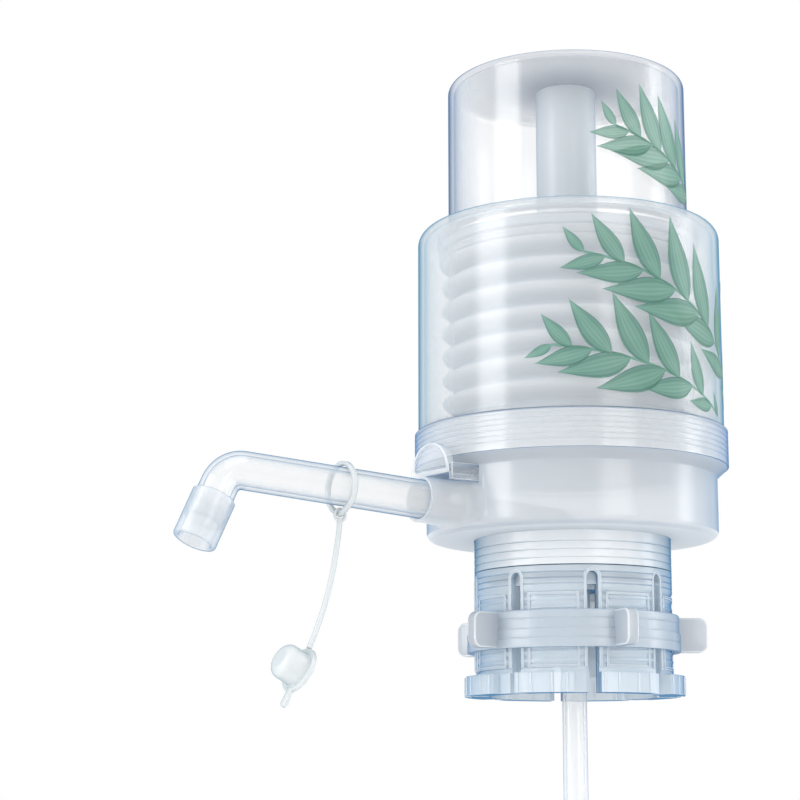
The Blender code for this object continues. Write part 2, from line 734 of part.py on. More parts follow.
def port_bore_mesh():
    bore = arc_points((0, 0), PORT_BORE_R, 0, 2 * math.pi, TUBE_SIDES)[:-1]
    inner = FAIRING_INNER_REACH - OVERRUN
    return prism("port_bore_cutter", bore, inner, PORT_FACE_S + OVERRUN, along_port, True)


def slider_outline(grow):
    """The slider's section across its travel, an upside-down channel, grown by a gap."""
    half = SLIDER_HALF_W + grow
    rail_inner = SLIDER_HALF_W - SLIDER_RAIL_W - grow
    low = SLIDER_FLOOR - SLIDER_RAIL_H - grow
    floor = SLIDER_FLOOR - grow
    top = SLIDER_TOP + grow
    return [
        (-half, low),
        (-rail_inner, low),
        (-rail_inner, floor),
        (rail_inner, floor),
        (rail_inner, low),
        (half, low),
        (half, top),
        (-half, top),
    ]


def slider_pocket_mesh():
    """The way through the wall for the slider, open above the boss's crown."""
    outline = slider_outline(TOUCH_GAP)
    outer = -PORT_FACE_REACH - OVERRUN
    return prism("slider_pocket_cutter", outline, outer, -LEDGE_INNER_R + OVERRUN, along_x)


# Screw ring and housing sleeve


def build_screw_ring(carrier):
    inner = RING_INNER_R
    profile = [
        (inner, RING_LOW),
        (RING_R, RING_LOW),
        (RING_R, RING_TOP - RING_CHAMFER),
        (RING_R - RING_CHAMFER, RING_TOP),
        (inner, RING_TOP),
    ]
    add_piece("screw_ring", turned("screw_ring", profile, LARGE_SIDES), CLEAR, carrier)


def build_sleeve(carrier):
    inner_edge = SLEEVE_EDGE - SLEEVE_WALL
    lip_r = CAP_R + SLIDE_GAP
    profile = [
        (SLEEVE_NECK_INNER_R, RING_LOW),
        (SLEEVE_NECK_R, RING_LOW),
        (SLEEVE_NECK_R, SLEEVE_SHOULDER),
        (SLEEVE_R, SLEEVE_SHOULDER),
    ]
    outer_centre = (SLEEVE_R - SLEEVE_EDGE, SLEEVE_TOP - SLEEVE_EDGE)
    profile += arc_points(outer_centre, SLEEVE_EDGE, 0, math.pi / 2, SLEEVE_EDGE_STEPS)
    profile += [(lip_r, SLEEVE_TOP), (lip_r, SLEEVE_LIP_LOW)]
    inner_centre = (SLEEVE_INNER_R - inner_edge, SLEEVE_LIP_LOW - inner_edge)
    profile += arc_points(inner_centre, inner_edge, math.pi / 2, 0, SLEEVE_EDGE_STEPS)
    profile += [
        (SLEEVE_INNER_R, SLEEVE_SHOULDER + SLEEVE_NECK_IN),
        (SLEEVE_NECK_INNER_R, SLEEVE_SHOULDER),
    ]
    add_piece("housing_sleeve", turned("housing_sleeve", profile, LARGE_SIDES), CLEAR, carrier)


# Valve plate and valves


def valve_holes(name, x, low, high):
    """Cutter for the stem's hole and the ports round it."""
    shape = bmesh.new()
    centres = [(x, 0, VALVE_HOLE_R)]
    for i in range(VALVE_PORTS):
        angle = 2 * math.pi * (i + 0.5) / VALVE_PORTS
        place_x = x + VALVE_PORT_PLACE * math.cos(angle)
        centres.append((place_x, VALVE_PORT_PLACE * math.sin(angle), VALVE_PORT_R))
    for centre_x, centre_y, radius in centres:
        outline = arc_points((centre_x, centre_y), radius, 0, 2 * math.pi, PIN_SIDES)[:-1]
        prism_into(shape, outline, low - OVERRUN, high + OVERRUN, upright)
    return finish_mesh(name, shape)


def build_valve_plate(carrier):
    profile = [
        (0, VALVE_PLATE_LOW),
        (VALVE_PLATE_R, VALVE_PLATE_LOW),
        (VALVE_PLATE_R, VALVE_PLATE_TOP),
        (0, VALVE_PLATE_TOP),
    ]
    mesh = turned("valve_plate", profile, LARGE_SIDES, closed=False)
    plate = add_piece("valve_plate", mesh, FROSTED, carrier)
    rib_outer = -(SLIDER_INNER_REACH - 2 * TOUCH_GAP - SPRING_LENGTH)
    rib_low = spring_axis_z() - SPRING_RIB_FOOT
    rib = prism(
        "spring_rib_adder",
        rectangle(-SPRING_RIB_HALF_W, SPRING_RIB_HALF_W, rib_low, VALVE_PLATE_LOW + VALVE_PLATE_T / 2),
        rib_outer,
        rib_outer + SPRING_RIB_T,
        along_x,
    )
    boolean(plate, "UNION", add_cutter("spring_rib_adder", rib, carrier))
    holes = valve_holes("check_hole_cutter", CHECK_VALVE_X, VALVE_PLATE_LOW, VALVE_PLATE_TOP)
    boolean(plate, "DIFFERENCE", add_cutter("check_hole_cutter", holes, carrier))


def umbrella_valve(name, x, plate_low, plate_top, carrier):
    """Disc under the plate, stem through it, head above it with room to lift."""
    disc_top = plate_low - TOUCH_GAP
    head_low = plate_top + VALVE_LIFT + TOUCH_GAP
    profile = [
        (0, disc_top - VALVE_DISC_T),
        (VALVE_DISC_R, disc_top - VALVE_DISC_T / 2),
        (VALVE_DISC_R, disc_top),
        (VALVE_STEM_R, disc_top),
        (VALVE_STEM_R, head_low),
        (VALVE_HEAD_R, head_low),
        (VALVE_STEM_R, head_low + VALVE_HEAD_H),
        (0, head_low + VALVE_HEAD_H),
    ]
    mesh = turned(name, profile, PIN_SIDES, place=(x, 0, 0), closed=False)
    add_piece(name, mesh, SILICONE, carrier)


# Bellows and clamp rings


def bellows_profile():
    """Zigzag wall between two flat flanges, as one closed outline."""
    fold_low = BELLOWS_LOW + BELLOWS_FLANGE_T + BELLOWS_NECK_H
    fold_high = BELLOWS_HIGH - BELLOWS_FLANGE_T - BELLOWS_NECK_H
    half_fold = (fold_high - fold_low) / (2 * FOLDS)
    outer = [(BELLOWS_FLANGE_R, BELLOWS_LOW), (BELLOWS_FLANGE_R, BELLOWS_LOW + BELLOWS_FLANGE_T)]
    outer.append((FOLD_VALLEY_R, BELLOWS_LOW + BELLOWS_FLANGE_T))
    zigzag = []
    for i in range(2 * FOLDS + 1):
        zigzag.append((FOLD_PEAK_R if i % 2 else FOLD_VALLEY_R, fold_low + half_fold * i))
    outer += zigzag
    outer.append((FOLD_VALLEY_R, BELLOWS_HIGH - BELLOWS_FLANGE_T))
    outer += [(BELLOWS_FLANGE_R, BELLOWS_HIGH - BELLOWS_FLANGE_T), (BELLOWS_FLANGE_R, BELLOWS_HIGH)]
    inner = [(FOLD_VALLEY_R - BELLOWS_WALL, BELLOWS_HIGH)]
    inner += [(r - BELLOWS_WALL, z) for r, z in reversed(zigzag)]
    inner.append((FOLD_VALLEY_R - BELLOWS_WALL, BELLOWS_LOW))
    return outer + inner


def build_bellows(carrier):
    mesh = turned("bellows", bellows_profile(), MEDIUM_SIDES)
    add_piece("bellows", mesh, FROSTED, carrier)


def clamp_ring(name, low, carrier):
    inner = FOLD_VALLEY_R + CLAMP_RING_CLEARANCE
    profile = rectangle(inner, inner + CLAMP_RING_W, low, low + CLAMP_RING_T)
    add_piece(name, turned(name, profile, MEDIUM_SIDES), FROSTED, carrier)


# Press cap, column and plunger plate


def build_press_cap(carrier):
    flange_r = CAP_FLANGE_R
    inner_r = CAP_R - CAP_WALL
    ceiling = CAP_TOP - CAP_TOP_T
    profile = [(0, CAP_TOP)]
    profile += arc_points((CAP_R - CAP_EDGE, CAP_TOP - CAP_EDGE), CAP_EDGE, math.pi / 2, 0, CAP_EDGE_STEPS)
    profile += [
        (CAP_R, CAP_FLANGE_TOP),
        (flange_r, CAP_FLANGE_TOP),
        (flange_r, CAP_LOW),
        (inner_r, CAP_LOW),
    ]
    inner_centre = (inner_r - CAP_INNER_EDGE, ceiling - CAP_INNER_EDGE)
    profile += arc_points(inner_centre, CAP_INNER_EDGE, 0, math.pi / 2, CAP_EDGE_STEPS)
    profile += [(0, ceiling)]
    mesh = turned("press_cap", profile, LARGE_SIDES, closed=False)
    add_piece("press_cap", mesh, CLEAR, carrier)


def build_column(carrier):
    low = PLUNGER_TOP + TOUCH_GAP
    top = CAP_TOP - CAP_TOP_T - TOUCH_GAP
    profile = rectangle(COLUMN_R - COLUMN_WALL, COLUMN_R, low, top)
    add_piece("press_column", turned("press_column", profile, SMALL_SIDES), FROSTED, carrier)


def build_plunger(carrier):
    profile = [(0, PLUNGER_LOW), (PLUNGER_R, PLUNGER_LOW), (PLUNGER_R, PLUNGER_TOP), (0, PLUNGER_TOP)]
    mesh = turned("plunger_plate", profile, MEDIUM_SIDES, closed=False)
    plate = add_piece("plunger_plate", mesh, FROSTED, carrier)
    holes = valve_holes("intake_hole_cutter", INTAKE_VALVE_X, PLUNGER_LOW, PLUNGER_TOP)
    boolean(plate, "DIFFERENCE", add_cutter("intake_hole_cutter", holes, carrier))


# Riser elbow and dip tube


def build_riser(carrier):
    up = Vector((0, 0, 1))
    bend = bend_stations(PORT_START, up, PORT_OUT, RISER_BEND_R, BEND_STEPS)
    foot = Vector((0, 0, -RISER_DROP))
    socket_top = foot + RISER_SOCKET_H * up
    arm_end = port_point(RISER_ARM_REACH)
    arm_collar = port_point(RISER_ARM_REACH - RISER_COLLAR_W)
    collar_r = PORT_SEAL_R
    outer = [(foot, up, RISER_R), (COLLAR_TOP * up, up, RISER_R)]
    outer.append(((COLLAR_TOP + RISER_SHOULDER_H) * up, up, RISER_NECK_R))
    outer += [(place, direction, RISER_NECK_R) for place, direction in bend]
    outer += [
        (arm_collar, PORT_OUT, RISER_NECK_R),
        (arm_collar, PORT_OUT, collar_r),
        (arm_end, PORT_OUT, collar_r),
    ]
    inner = [
        (foot, up, COUPLER_INNER_R),
        (socket_top, up, COUPLER_INNER_R),
        (socket_top, up, RISER_BORE_R),
    ]
    inner += [(place, direction, RISER_BORE_R) for place, direction in bend]
    inner.append((arm_end, PORT_OUT, RISER_BORE_R))
    mesh = tube_between("riser_elbow", outer, inner, SMALL_SIDES)
    add_piece("riser_elbow", mesh, FROSTED, carrier)


def dip_tube_top(index):
    """The top of one length of the dip tube, counted from the riser down."""
    first = -RISER_DROP + RISER_SOCKET_H - TOUCH_GAP
    return first - index * (DIP_LENGTH + COUPLER_STOP_T + 2 * TOUCH_GAP)


def build_dip_tube(name, index, notched, carrier):
    top = dip_tube_top(index)
    low = top - DIP_LENGTH
    profile = rectangle(DIP_BORE_R, DIP_R, low, top)
    tube = add_piece(name, turned(name, profile, SMALL_SIDES), CLEAR, carrier)
    if not notched:
        return
    half = DIP_R * DIP_NOTCH_WIDTH_SHARE
    notch = [
        (-half, low - OVERRUN),
        (half, low - OVERRUN),
        (half / 2, low + DIP_NOTCH_H),
        (-half / 2, low + DIP_NOTCH_H),
    ]
    for i in range(DIP_NOTCHES):
        cutter = f"foot_notch_cutter_{i}"
        across = radial(math.pi * i / DIP_NOTCHES)
        mesh = prism(cutter, notch, -DIP_R - OVERRUN, DIP_R + OVERRUN, across)
        boolean(tube, "DIFFERENCE", add_cutter(cutter, mesh, carrier))


def build_coupler(carrier):
    """A sleeve over the joint of the two lengths, with a stop ring in the middle."""
    middle = dip_tube_top(0) - DIP_LENGTH - TOUCH_GAP - COUPLER_STOP_T / 2
    low = middle - COUPLER_H / 2
    high = middle + COUPLER_H / 2
    stop_low = middle - COUPLER_STOP_T / 2
    stop_high = middle + COUPLER_STOP_T / 2
    outer_r = COUPLER_INNER_R + COUPLER_WALL
    profile = [
        (COUPLER_INNER_R, low),
        (outer_r, low),
        (outer_r, high),
        (COUPLER_INNER_R, high),
        (COUPLER_INNER_R, stop_high),
        (DIP_BORE_R, stop_high),
        (DIP_BORE_R, stop_low),
        (COUPLER_INNER_R, stop_low),
    ]
    add_piece("dip_tube_coupler", turned("dip_tube_coupler", profile, SMALL_SIDES), FROSTED, carrier)


# Spout, nozzle and port seal


def leg_direction():
    return Vector((-math.sin(SPOUT_LEG_TILT), 0, -math.cos(SPOUT_LEG_TILT)))


def build_port_seal(carrier):
    end = PORT_SEAL_START + PORT_SEAL_T
    stations = [(port_point(PORT_SEAL_START), PORT_OUT), (port_point(end), PORT_OUT)]
    outer = [(place, direction, PORT_SEAL_R) for place, direction in stations]
    inner = [(place, direction, PORT_SEAL_INNER_R) for place, direction in stations]
    add_piece("port_seal", tube_between("port_seal", outer, inner, SMALL_SIDES), SILICONE, carrier)


def build_spout(carrier):
    corner = port_point(SPOUT_ELBOW_REACH)
    leg = leg_direction()
    bend = bend_stations(corner, PORT_OUT, leg, SPOUT_BEND_R, BEND_STEPS)
    leg_end = corner + SPOUT_LEG * leg
    taper = SPOUT_R - SPOUT_END_R
    outer = [(port_point(SPOUT_START), PORT_OUT, SPOUT_R), (port_point(PORT_FACE_S), PORT_OUT, SPOUT_R)]
    for i, (place, direction) in enumerate(bend):
        share = i / BEND_STEPS
        bend_start_share = 0.8
        radius = SPOUT_R - taper * (bend_start_share + (1 - bend_start_share) * share)
        outer.append((place, direction, radius))
    outer.append((leg_end, leg, SPOUT_END_R))
    inner = [(place, direction, radius - SPOUT_WALL) for place, direction, radius in outer]
    add_piece("spout_tube", tube_between("spout_tube", outer, inner, TUBE_SIDES), CLEAR, carrier)


def build_nozzle(carrier):
    """A sleeve over the end of the spout, with a lip that the tube's end meets."""
    corner = port_point(SPOUT_ELBOW_REACH)
    leg = leg_direction()
    start = corner + NOZZLE_START * leg
    stop = corner + (SPOUT_LEG + TOUCH_GAP) * leg
    end = corner + (NOZZLE_START + NOZZLE_H) * leg
    outer = [(start, leg, NOZZLE_R), (end - NOZZLE_LIP_EDGE * leg, leg, NOZZLE_R)]
    outer.append((end, leg, NOZZLE_R - NOZZLE_LIP_EDGE))
    inner = [
        (start, leg, NOZZLE_SOCKET_R),
        (stop, leg, NOZZLE_SOCKET_R),
        (stop, leg, NOZZLE_LIP_R),
        (end, leg, NOZZLE_LIP_R),
    ]
    add_piece("spout_nozzle", tube_between("spout_nozzle", outer, inner, TUBE_SIDES), FROSTED, carrier)


# Plug ring, strap and dust plug


def plug_ring_centre():
    """The ring hangs on the spout, so it lies a little below the port's axis."""
    drop = PLUG_RING_INNER_R - SPOUT_R - TOUCH_GAP
    return port_point(PLUG_RING_REACH) - drop * PORT_UP


def plug_ring_tip():
    return plug_ring_centre() - PLUG_RING_TIP * PORT_UP


def teardrop(radius, tip):
    """A circle drawn out to a point below it."""
    half_angle = math.acos(radius / tip)
    start = -math.pi / 2 + half_angle
    end = 3 * math.pi / 2 - half_angle
    return arc_points((0, 0), radius, start, end, PLUG_RING_STEPS) + [(0, -tip)]


def build_plug_ring(carrier):
    centre = plug_ring_centre()
    outer = teardrop(PLUG_RING_R, PLUG_RING_TIP)
    inner = teardrop(PLUG_RING_INNER_R, PLUG_RING_EYE)
    shape = bmesh.new()
    rings = []
    for outline in (outer, inner):
        for side in (-1, 1):
            shift = side * PLUG_RING_T / 2 * PORT_OUT
            rings.append([
                shape.verts.new(centre + shift + u * Vector((0, 1, 0)) + v * PORT_UP) for u, v in outline
            ])
    outer_low, outer_high, inner_low, inner_high = rings
    bridge(shape, outer_low, outer_high)
    bridge(shape, inner_low, inner_high)
    bridge(shape, outer_low, inner_low)
    bridge(shape, outer_high, inner_high)
    add_piece("plug_ring", finish_mesh("plug_ring", shape), SILICONE, carrier)


def strap_points():
    """Points along a smooth curve through the strap's route."""
    start = plug_ring_tip() - TOUCH_GAP * PORT_UP
    route = [start + Vector((x, 0, z)) for x, z in STRAP_ROUTE]
    before = 2 * route[0] - route[1]
    after = 2 * route[-1] - route[-2]
    keys = [before] + route + [after]
    spans = len(route) - 1
    points = []
    for i in range(STRAP_POINTS):
        along = spans * i / (STRAP_POINTS - 1)
        span = min(int(along), spans - 1)
        t = along - span
        a, b, c, d = keys[span:span + 4]
        points.append(
            0.5 * (2 * b + (c - a) * t + (2 * a - 5 * b + 4 * c - d) * t * t + (3 * b - a - 3 * c + d) * t ** 3)
        )
    return points


def curve_piece(name, points, radius, resolution, finish, carrier):
    """A round wire or strap: a POLY spline with a bevel and filled ends."""
    curve = bpy.data.curves.new(name, "CURVE")
    curve.dimensions = "3D"
    curve.bevel_depth = radius
    curve.bevel_resolution = resolution
    curve.use_fill_caps = True
    spline = curve.splines.new("POLY")
    spline.points.add(len(points) - 1)
    for point, place in zip(spline.points, points):
        point.co = (*(place - carrier.location), 1)
    piece = bpy.data.objects.new(name, curve)
    bpy.context.scene.collection.objects.link(piece)
    piece.parent = carrier
    curve.materials.append(plastic(name + "_finish", *finish))
    return piece


def plug_frame():
    """The dust plug's centre, the way that its dome points, and the way down its flange."""
    down = Vector((-math.sin(PLUG_LEAN), 0, -math.cos(PLUG_LEAN)))
    out = Vector((-math.cos(PLUG_LEAN), 0, math.sin(PLUG_LEAN)))
    centre = strap_points()[-1] + (PLUG_FLANGE_R + TOUCH_GAP) * down
    return centre, out, down


def build_dust_plug(carrier):
    centre, out, down = plug_frame()
    side = out.cross(down)
    frame = Matrix((down, side, out)).transposed().to_4x4()
    frame.translation = centre
    profile = [(0, -PLUG_FLANGE_T / 2 + PLUG_DISH)]
    profile += [
        (PLUG_DOME_R - PLUG_DISH, -PLUG_FLANGE_T / 2 + PLUG_DISH),
        (PLUG_DOME_R, -PLUG_FLANGE_T / 2),
        (PLUG_FLANGE_R, -PLUG_FLANGE_T / 2),
        (PLUG_FLANGE_R, PLUG_FLANGE_T / 2),
        (PLUG_DOME_R, PLUG_FLANGE_T / 2),
    ]
    dome_centre = (PLUG_DOME_R - PLUG_DOME_EDGE, PLUG_DOME_H - PLUG_DOME_EDGE)
    profile += arc_points(dome_centre, PLUG_DOME_EDGE, 0, math.pi / 2, PLUG_DOME_STEPS)
    profile += [(0, PLUG_DOME_H)]
    mesh = turned("dust_plug", profile, SMALL_SIDES, closed=False)
    mesh.transform(frame)
    plug = add_piece("dust_plug", mesh, SILICONE, carrier)

    half = PLUG_TAB_W / 2
    tip = PLUG_FLANGE_R + PLUG_TAB_L - half
    outline = [(PLUG_FLANGE_R - PLUG_FLANGE_T, -half)]
    outline += arc_points((tip, 0), half, -math.pi / 2, math.pi / 2, PLUG_DOME_STEPS)
    outline += [(PLUG_FLANGE_R - PLUG_FLANGE_T, half)]
    tab_half = PLUG_FLANGE_T / 2 - PLUG_DISH / 4
    tab = prism("tab_adder", outline, -tab_half, tab_half, upright)
    tab.transform(frame)
    boolean(plug, "UNION", add_cutter("tab_adder", tab, carrier))


# Release slider and its spring


def spring_axis_z():
    return (SLIDER_FLOOR + SLIDER_TOP) / 2


def build_release_slider(carrier):
    outline = slider_outline(0)
    outer = -SLIDER_OUTER_REACH + THUMB_T / 2
    mesh = prism("release_slider", outline, outer, -SLIDER_INNER_REACH, along_x)
    slider = add_piece("release_slider", mesh, CLEAR, carrier)

    shoulder_low = SLIDER_FLOOR - SLIDER_RAIL_H
    shoulder = prism(
        "shoulder_adder",
        rectangle(-SHOULDER_HALF_W, SHOULDER_HALF_W, shoulder_low + TOUCH_GAP, SLIDER_TOP - TOUCH_GAP),
        -SHOULDER_REACH,
        -SLIDER_INNER_REACH - TOUCH_GAP,
        along_x,
    )
    boolean(slider, "UNION", add_cutter("shoulder_adder", shoulder, carrier))

    thumb = bmesh.new()
    plate = arc_points((0, SLIDER_FLOOR), THUMB_R, 0, math.pi, THUMB_STEPS)
    prism_into(thumb, plate, -SLIDER_OUTER_REACH, -SLIDER_OUTER_REACH + THUMB_T, along_x)
    bmesh.ops.recalc_face_normals(thumb, faces=thumb.faces)
    flats = [face for face in thumb.faces if len(face.verts) > 4]
    bmesh.ops.inset_individual(thumb, faces=flats, thickness=THUMB_RIM, depth=-THUMB_DISH)
    adder = add_cutter("thumb_adder", finish_mesh("thumb_adder", thumb, False), carrier)
    boolean(slider, "UNION", adder)


def build_release_spring(carrier):
    """A coil between the slider's tail and the rib under the valve plate."""
    start = -SLIDER_INNER_REACH + TOUCH_GAP + SPRING_WIRE_R
    length = SPRING_LENGTH - 2 * SPRING_WIRE_R
    points = []
    total = SPRING_TURNS * SPRING_TURN_POINTS
    for i in range(total + 1):
        angle = 2 * math.pi * i / SPRING_TURN_POINTS
        across = SPRING_R * math.cos(angle)
        up = SPRING_R * math.sin(angle)
        points.append(Vector((start + length * i / total, across, spring_axis_z() + up)))
    gap = length / SPRING_TURNS - 2 * SPRING_WIRE_R
    print("release spring, least gap between turns in mm:", round(gap / MM, 2))
    curve_piece("release_spring", points, SPRING_WIRE_R, 1, STEEL, carrier)


def build():
    clear_scene()
    origin = Vector((0, 0, 0))
    pump = body_empty("pump_body", origin)
    cap = body_empty("cap_group", Vector((0, 0, CAP_TOP)))
    nut = body_empty("nut_group", origin)
    spout = body_empty("spout_group", port_point(PORT_FACE_S))
    ring = body_empty("ring_group", plug_ring_centre())
    strap = body_empty("strap_group", plug_ring_tip())
    slider = body_empty("slider_group", Vector((-SLIDER_OUTER_REACH, 0, SLIDER_FLOOR)))
    check = body_empty("check_valve_group", Vector((CHECK_VALVE_X, 0, VALVE_PLATE_LOW)))
    intake = body_empty("intake_valve_group", Vector((INTAKE_VALVE_X, 0, PLUNGER_LOW)))

    build_neck_seal(pump)
    build_collar(pump)
    build_clamp_nut(nut)
    build_base(pump)
    build_screw_ring(pump)
    build_sleeve(pump)
    build_valve_plate(pump)
    umbrella_valve("check_valve", CHECK_VALVE_X, VALVE_PLATE_LOW, VALVE_PLATE_TOP, check)
    build_bellows(pump)
    lower_ring = BELLOWS_LOW + BELLOWS_FLANGE_T + TOUCH_GAP
    upper_ring = BELLOWS_HIGH - BELLOWS_FLANGE_T - TOUCH_GAP - CLAMP_RING_T
    clamp_ring("bellows_lower_ring", lower_ring, pump)
    clamp_ring("bellows_upper_ring", upper_ring, cap)
    build_press_cap(cap)
    build_column(cap)
    build_plunger(cap)
    umbrella_valve("intake_valve", INTAKE_VALVE_X, PLUNGER_LOW, PLUNGER_TOP, intake)
    build_riser(pump)
    build_dip_tube("dip_tube_upper", 0, False, pump)
    build_coupler(pump)
    build_dip_tube("dip_tube_lower", 1, True, pump)
    build_port_seal(pump)
    build_spout(spout)
    build_nozzle(spout)
    build_plug_ring(ring)
    curve_piece("plug_strap", strap_points(), STRAP_R, 2, SILICONE, strap)
    build_dust_plug(strap)
    build_release_slider(slider)
    build_release_spring(pump)


if __name__ == "__main__":
    build()
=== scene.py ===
import math

import bmesh
import bpy
from mathutils import Matrix, Vector


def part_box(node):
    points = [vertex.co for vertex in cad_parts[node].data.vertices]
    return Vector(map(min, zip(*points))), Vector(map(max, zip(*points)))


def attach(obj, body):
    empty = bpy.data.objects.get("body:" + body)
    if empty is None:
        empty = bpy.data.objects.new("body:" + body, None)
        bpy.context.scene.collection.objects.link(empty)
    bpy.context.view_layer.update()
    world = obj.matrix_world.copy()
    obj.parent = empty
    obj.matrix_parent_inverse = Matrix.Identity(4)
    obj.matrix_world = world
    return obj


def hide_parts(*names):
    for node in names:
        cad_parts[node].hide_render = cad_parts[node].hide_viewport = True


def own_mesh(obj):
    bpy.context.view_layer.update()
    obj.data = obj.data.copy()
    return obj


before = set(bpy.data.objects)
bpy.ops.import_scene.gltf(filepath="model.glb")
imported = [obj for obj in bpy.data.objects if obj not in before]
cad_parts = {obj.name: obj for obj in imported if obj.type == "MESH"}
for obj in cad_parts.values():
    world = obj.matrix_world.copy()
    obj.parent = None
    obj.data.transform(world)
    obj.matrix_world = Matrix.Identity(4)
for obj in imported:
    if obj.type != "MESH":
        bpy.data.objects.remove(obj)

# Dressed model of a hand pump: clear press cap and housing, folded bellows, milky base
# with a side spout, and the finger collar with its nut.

bl_info = {
    "name": "Bottle hand pump",
    "version": (1, 0, 0),
    "blender": (4, 5, 0),
    "location": "3D View > Sidebar > Pump",
    "description": "Builds the dressed pieces of a bottle hand pump round its packed frame",
    "category": "Object",
}

MM = 0.001
DEG = math.pi / 180
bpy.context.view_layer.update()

# Sides and steps of the fine meshes
SHELL_SIDES = 144
TUBE_SIDES = 64
SMALL_SIDES = 48
EASE_STEPS = 3
SHARP_ANGLE = 38 * DEG
MERGE = 0.002 * MM
OVERRUN = 2.0 * MM

# The port's axis and the spout
PORT_TILT = 3.0 * DEG
PORT_OUT = Vector((-math.cos(PORT_TILT), 0, math.sin(PORT_TILT)))
PORT_UP = Vector((math.sin(PORT_TILT), 0, math.cos(PORT_TILT)))
PORT_REACH = 67.0 * MM
PORT_Z = 28.8 * MM
PORT_FACE_S = PORT_REACH / math.cos(PORT_TILT)
PORT_START = Vector((0, 0, PORT_Z - PORT_REACH * math.tan(PORT_TILT)))
LEG_TILT = 25.5 * DEG
LEG = Vector((-math.sin(LEG_TILT), 0, -math.cos(LEG_TILT)))


def linear(code):
    """A colour written as an sRGB hex code, turned to linear."""
    values = []
    for start in (1, 3, 5):
        value = int(code[start:start + 2], 16) / 255
        values.append(value / 12.92 if value <= 0.04045 else ((value + 0.055) / 1.055) ** 2.4)
    return (*values, 1.0)


def in_mm(*pairs):
    """Corners given in millimetres, turned to metres."""
    return [(u * MM, v * MM) for u, v in pairs]


# Sizes and colours that a user would change


def length(name, description, default):
    return bpy.props.FloatProperty(name=name, description=description, default=default, unit="LENGTH")


def tint(name, description, code):
    return bpy.props.FloatVectorProperty(
        name=name, description=description, default=linear(code), size=4, subtype="COLOR", min=0, max=1
    )


class PumpSizes(bpy.types.PropertyGroup):
    """Main sizes of the pump, in metres."""
    cap_r: length("Cap radius", "Outside radius of the press cap", 43.5 * MM)
    cap_wall: length("Cap wall", "Thickness of the press cap's wall", 2.0 * MM)
    cap_top: length("Cap top", "Height of the press cap's top", 188.0 * MM)
    sleeve_r: length("Housing radius", "Outside radius of the housing sleeve", 54.7 * MM)
    sleeve_wall: length("Housing wall", "Thickness of the housing's wall", 2.2 * MM)
    sleeve_top: length("Housing top", "Height of the housing's shoulder", 132.0 * MM)
    ring_r: length("Screw ring radius", "Outside radius of the screw ring", 56.0 * MM)
    base_r: length("Base radius", "Outside radius of the base's drum", 51.85 * MM)
    collar_r: length("Collar radius", "Outside radius of the finger collar", 34.85 * MM)
    spout_r: length("Spout radius", "Outside radius of the spout's tube", 6.65 * MM)
    fold_peak_r: length("Fold radius", "Radius of the bellows at its folds' peaks", 46.0 * MM)
    fold_valley_r: length("Fold valley radius", "Radius of the bellows between its folds", 39.5 * MM)
    folds: bpy.props.IntProperty(name="Folds", description="Folds of the bellows", default=8, min=3)
    lugs: bpy.props.IntProperty(name="Lugs", description="Finger lugs of the clamp nut", default=5, min=3)
    fingers: bpy.props.IntProperty(name="Fingers", description="Fingers of the collar", default=8, min=4)


class PumpColours(bpy.types.PropertyGroup):
    """Colours of the pump's plastics and print."""
    cap_clear: tint("Cap", "Clear plastic of the press cap", "#EEF2F5")
    cap_edge: tint("Cap edge", "The same plastic seen along its wall", "#557296")
    # Painted shade: this colour darkens the ceiling's middle as if the column shaded it
    cap_ceiling_painted_shade: tint("Cap ceiling", "The ceiling disc's middle, in the column's shade", "#6B8197")
    sleeve_clear: tint("Housing", "Clear plastic of the housing", "#F4F8FB")
    sleeve_edge: tint("Housing edge", "The same plastic seen along its wall", "#5A8BA6")
    milky: tint("Base", "Milky plastic of the base", "#F3F6F9")
    collar_blue: tint("Collar", "Bluish clear plastic of the collar", "#E0ECF5")
    nut_white: tint("Nut", "Greyish white plastic of the nut", "#E6EEF4")
    bellows_white: tint("Bellows", "Soft white of the bellows", "#F7FAFC")
    silicone: tint("Silicone", "Strap, plug and seals", "#E7EBEC")
    steel: tint("Steel", "Wire of the release spring", "#B8BABD")
    leaf_light: tint("Leaf", "Lighter green of the leaf print", "#93C3B1")
    leaf_dark: tint("Leaf vein", "Darker green of the leaf print", "#4E8A7B")


def sizes():
    return bpy.context.scene.pump_sizes


def colours():
    return bpy.context.scene.pump_colours


# Outlines


def arc(centre, radius, start, end, steps):
    points = []
    for i in range(steps + 1):
        angle = start + (end - start) * i / steps
        points.append((centre[0] + radius * math.cos(angle), centre[1] + radius * math.sin(angle)))
    return points


def eased(points, radius, closed=True, steps=EASE_STEPS):
    """Round every corner of an outline a little, as a mould's edges are."""
    rounded = []
    count = len(points)
    for i, corner in enumerate(points):
        if not closed and i in (0, count - 1):
            rounded.append(corner)
            continue
        here = Vector(corner)
        back = Vector(points[i - 1]) - here
        ahead = Vector(points[(i + 1) % count]) - here
        cut = min(radius, back.length * 0.45, ahead.length * 0.45)
        start = here + cut * back.normalized()
        end = here + cut * ahead.normalized()
        for k in range(steps + 1):
            t = k / steps
            point = (1 - t) ** 2 * start + 2 * t * (1 - t) * here + t * t * end
            rounded.append(tuple(point))
    return rounded


def rectangle(low_u, high_u, low_v, high_v):
    return [(low_u, low_v), (high_u, low_v), (high_u, high_v), (low_u, high_v)]


def groove(radius, z, half=0.3 * MM, depth=0.3 * MM):
    """A fine V groove round a turned piece, from low to high."""
    return [(radius, z - half), (radius - depth, z), (radius, z + half)]


# Meshes


def mesh_of(shape):
    bmesh.ops.remove_doubles(shape, verts=shape.verts, dist=MERGE)
    bmesh.ops.recalc_face_normals(shape, faces=shape.faces)
    mesh = bpy.data.meshes.new("mesh")
    shape.to_mesh(mesh)
    shape.free()
    return mesh


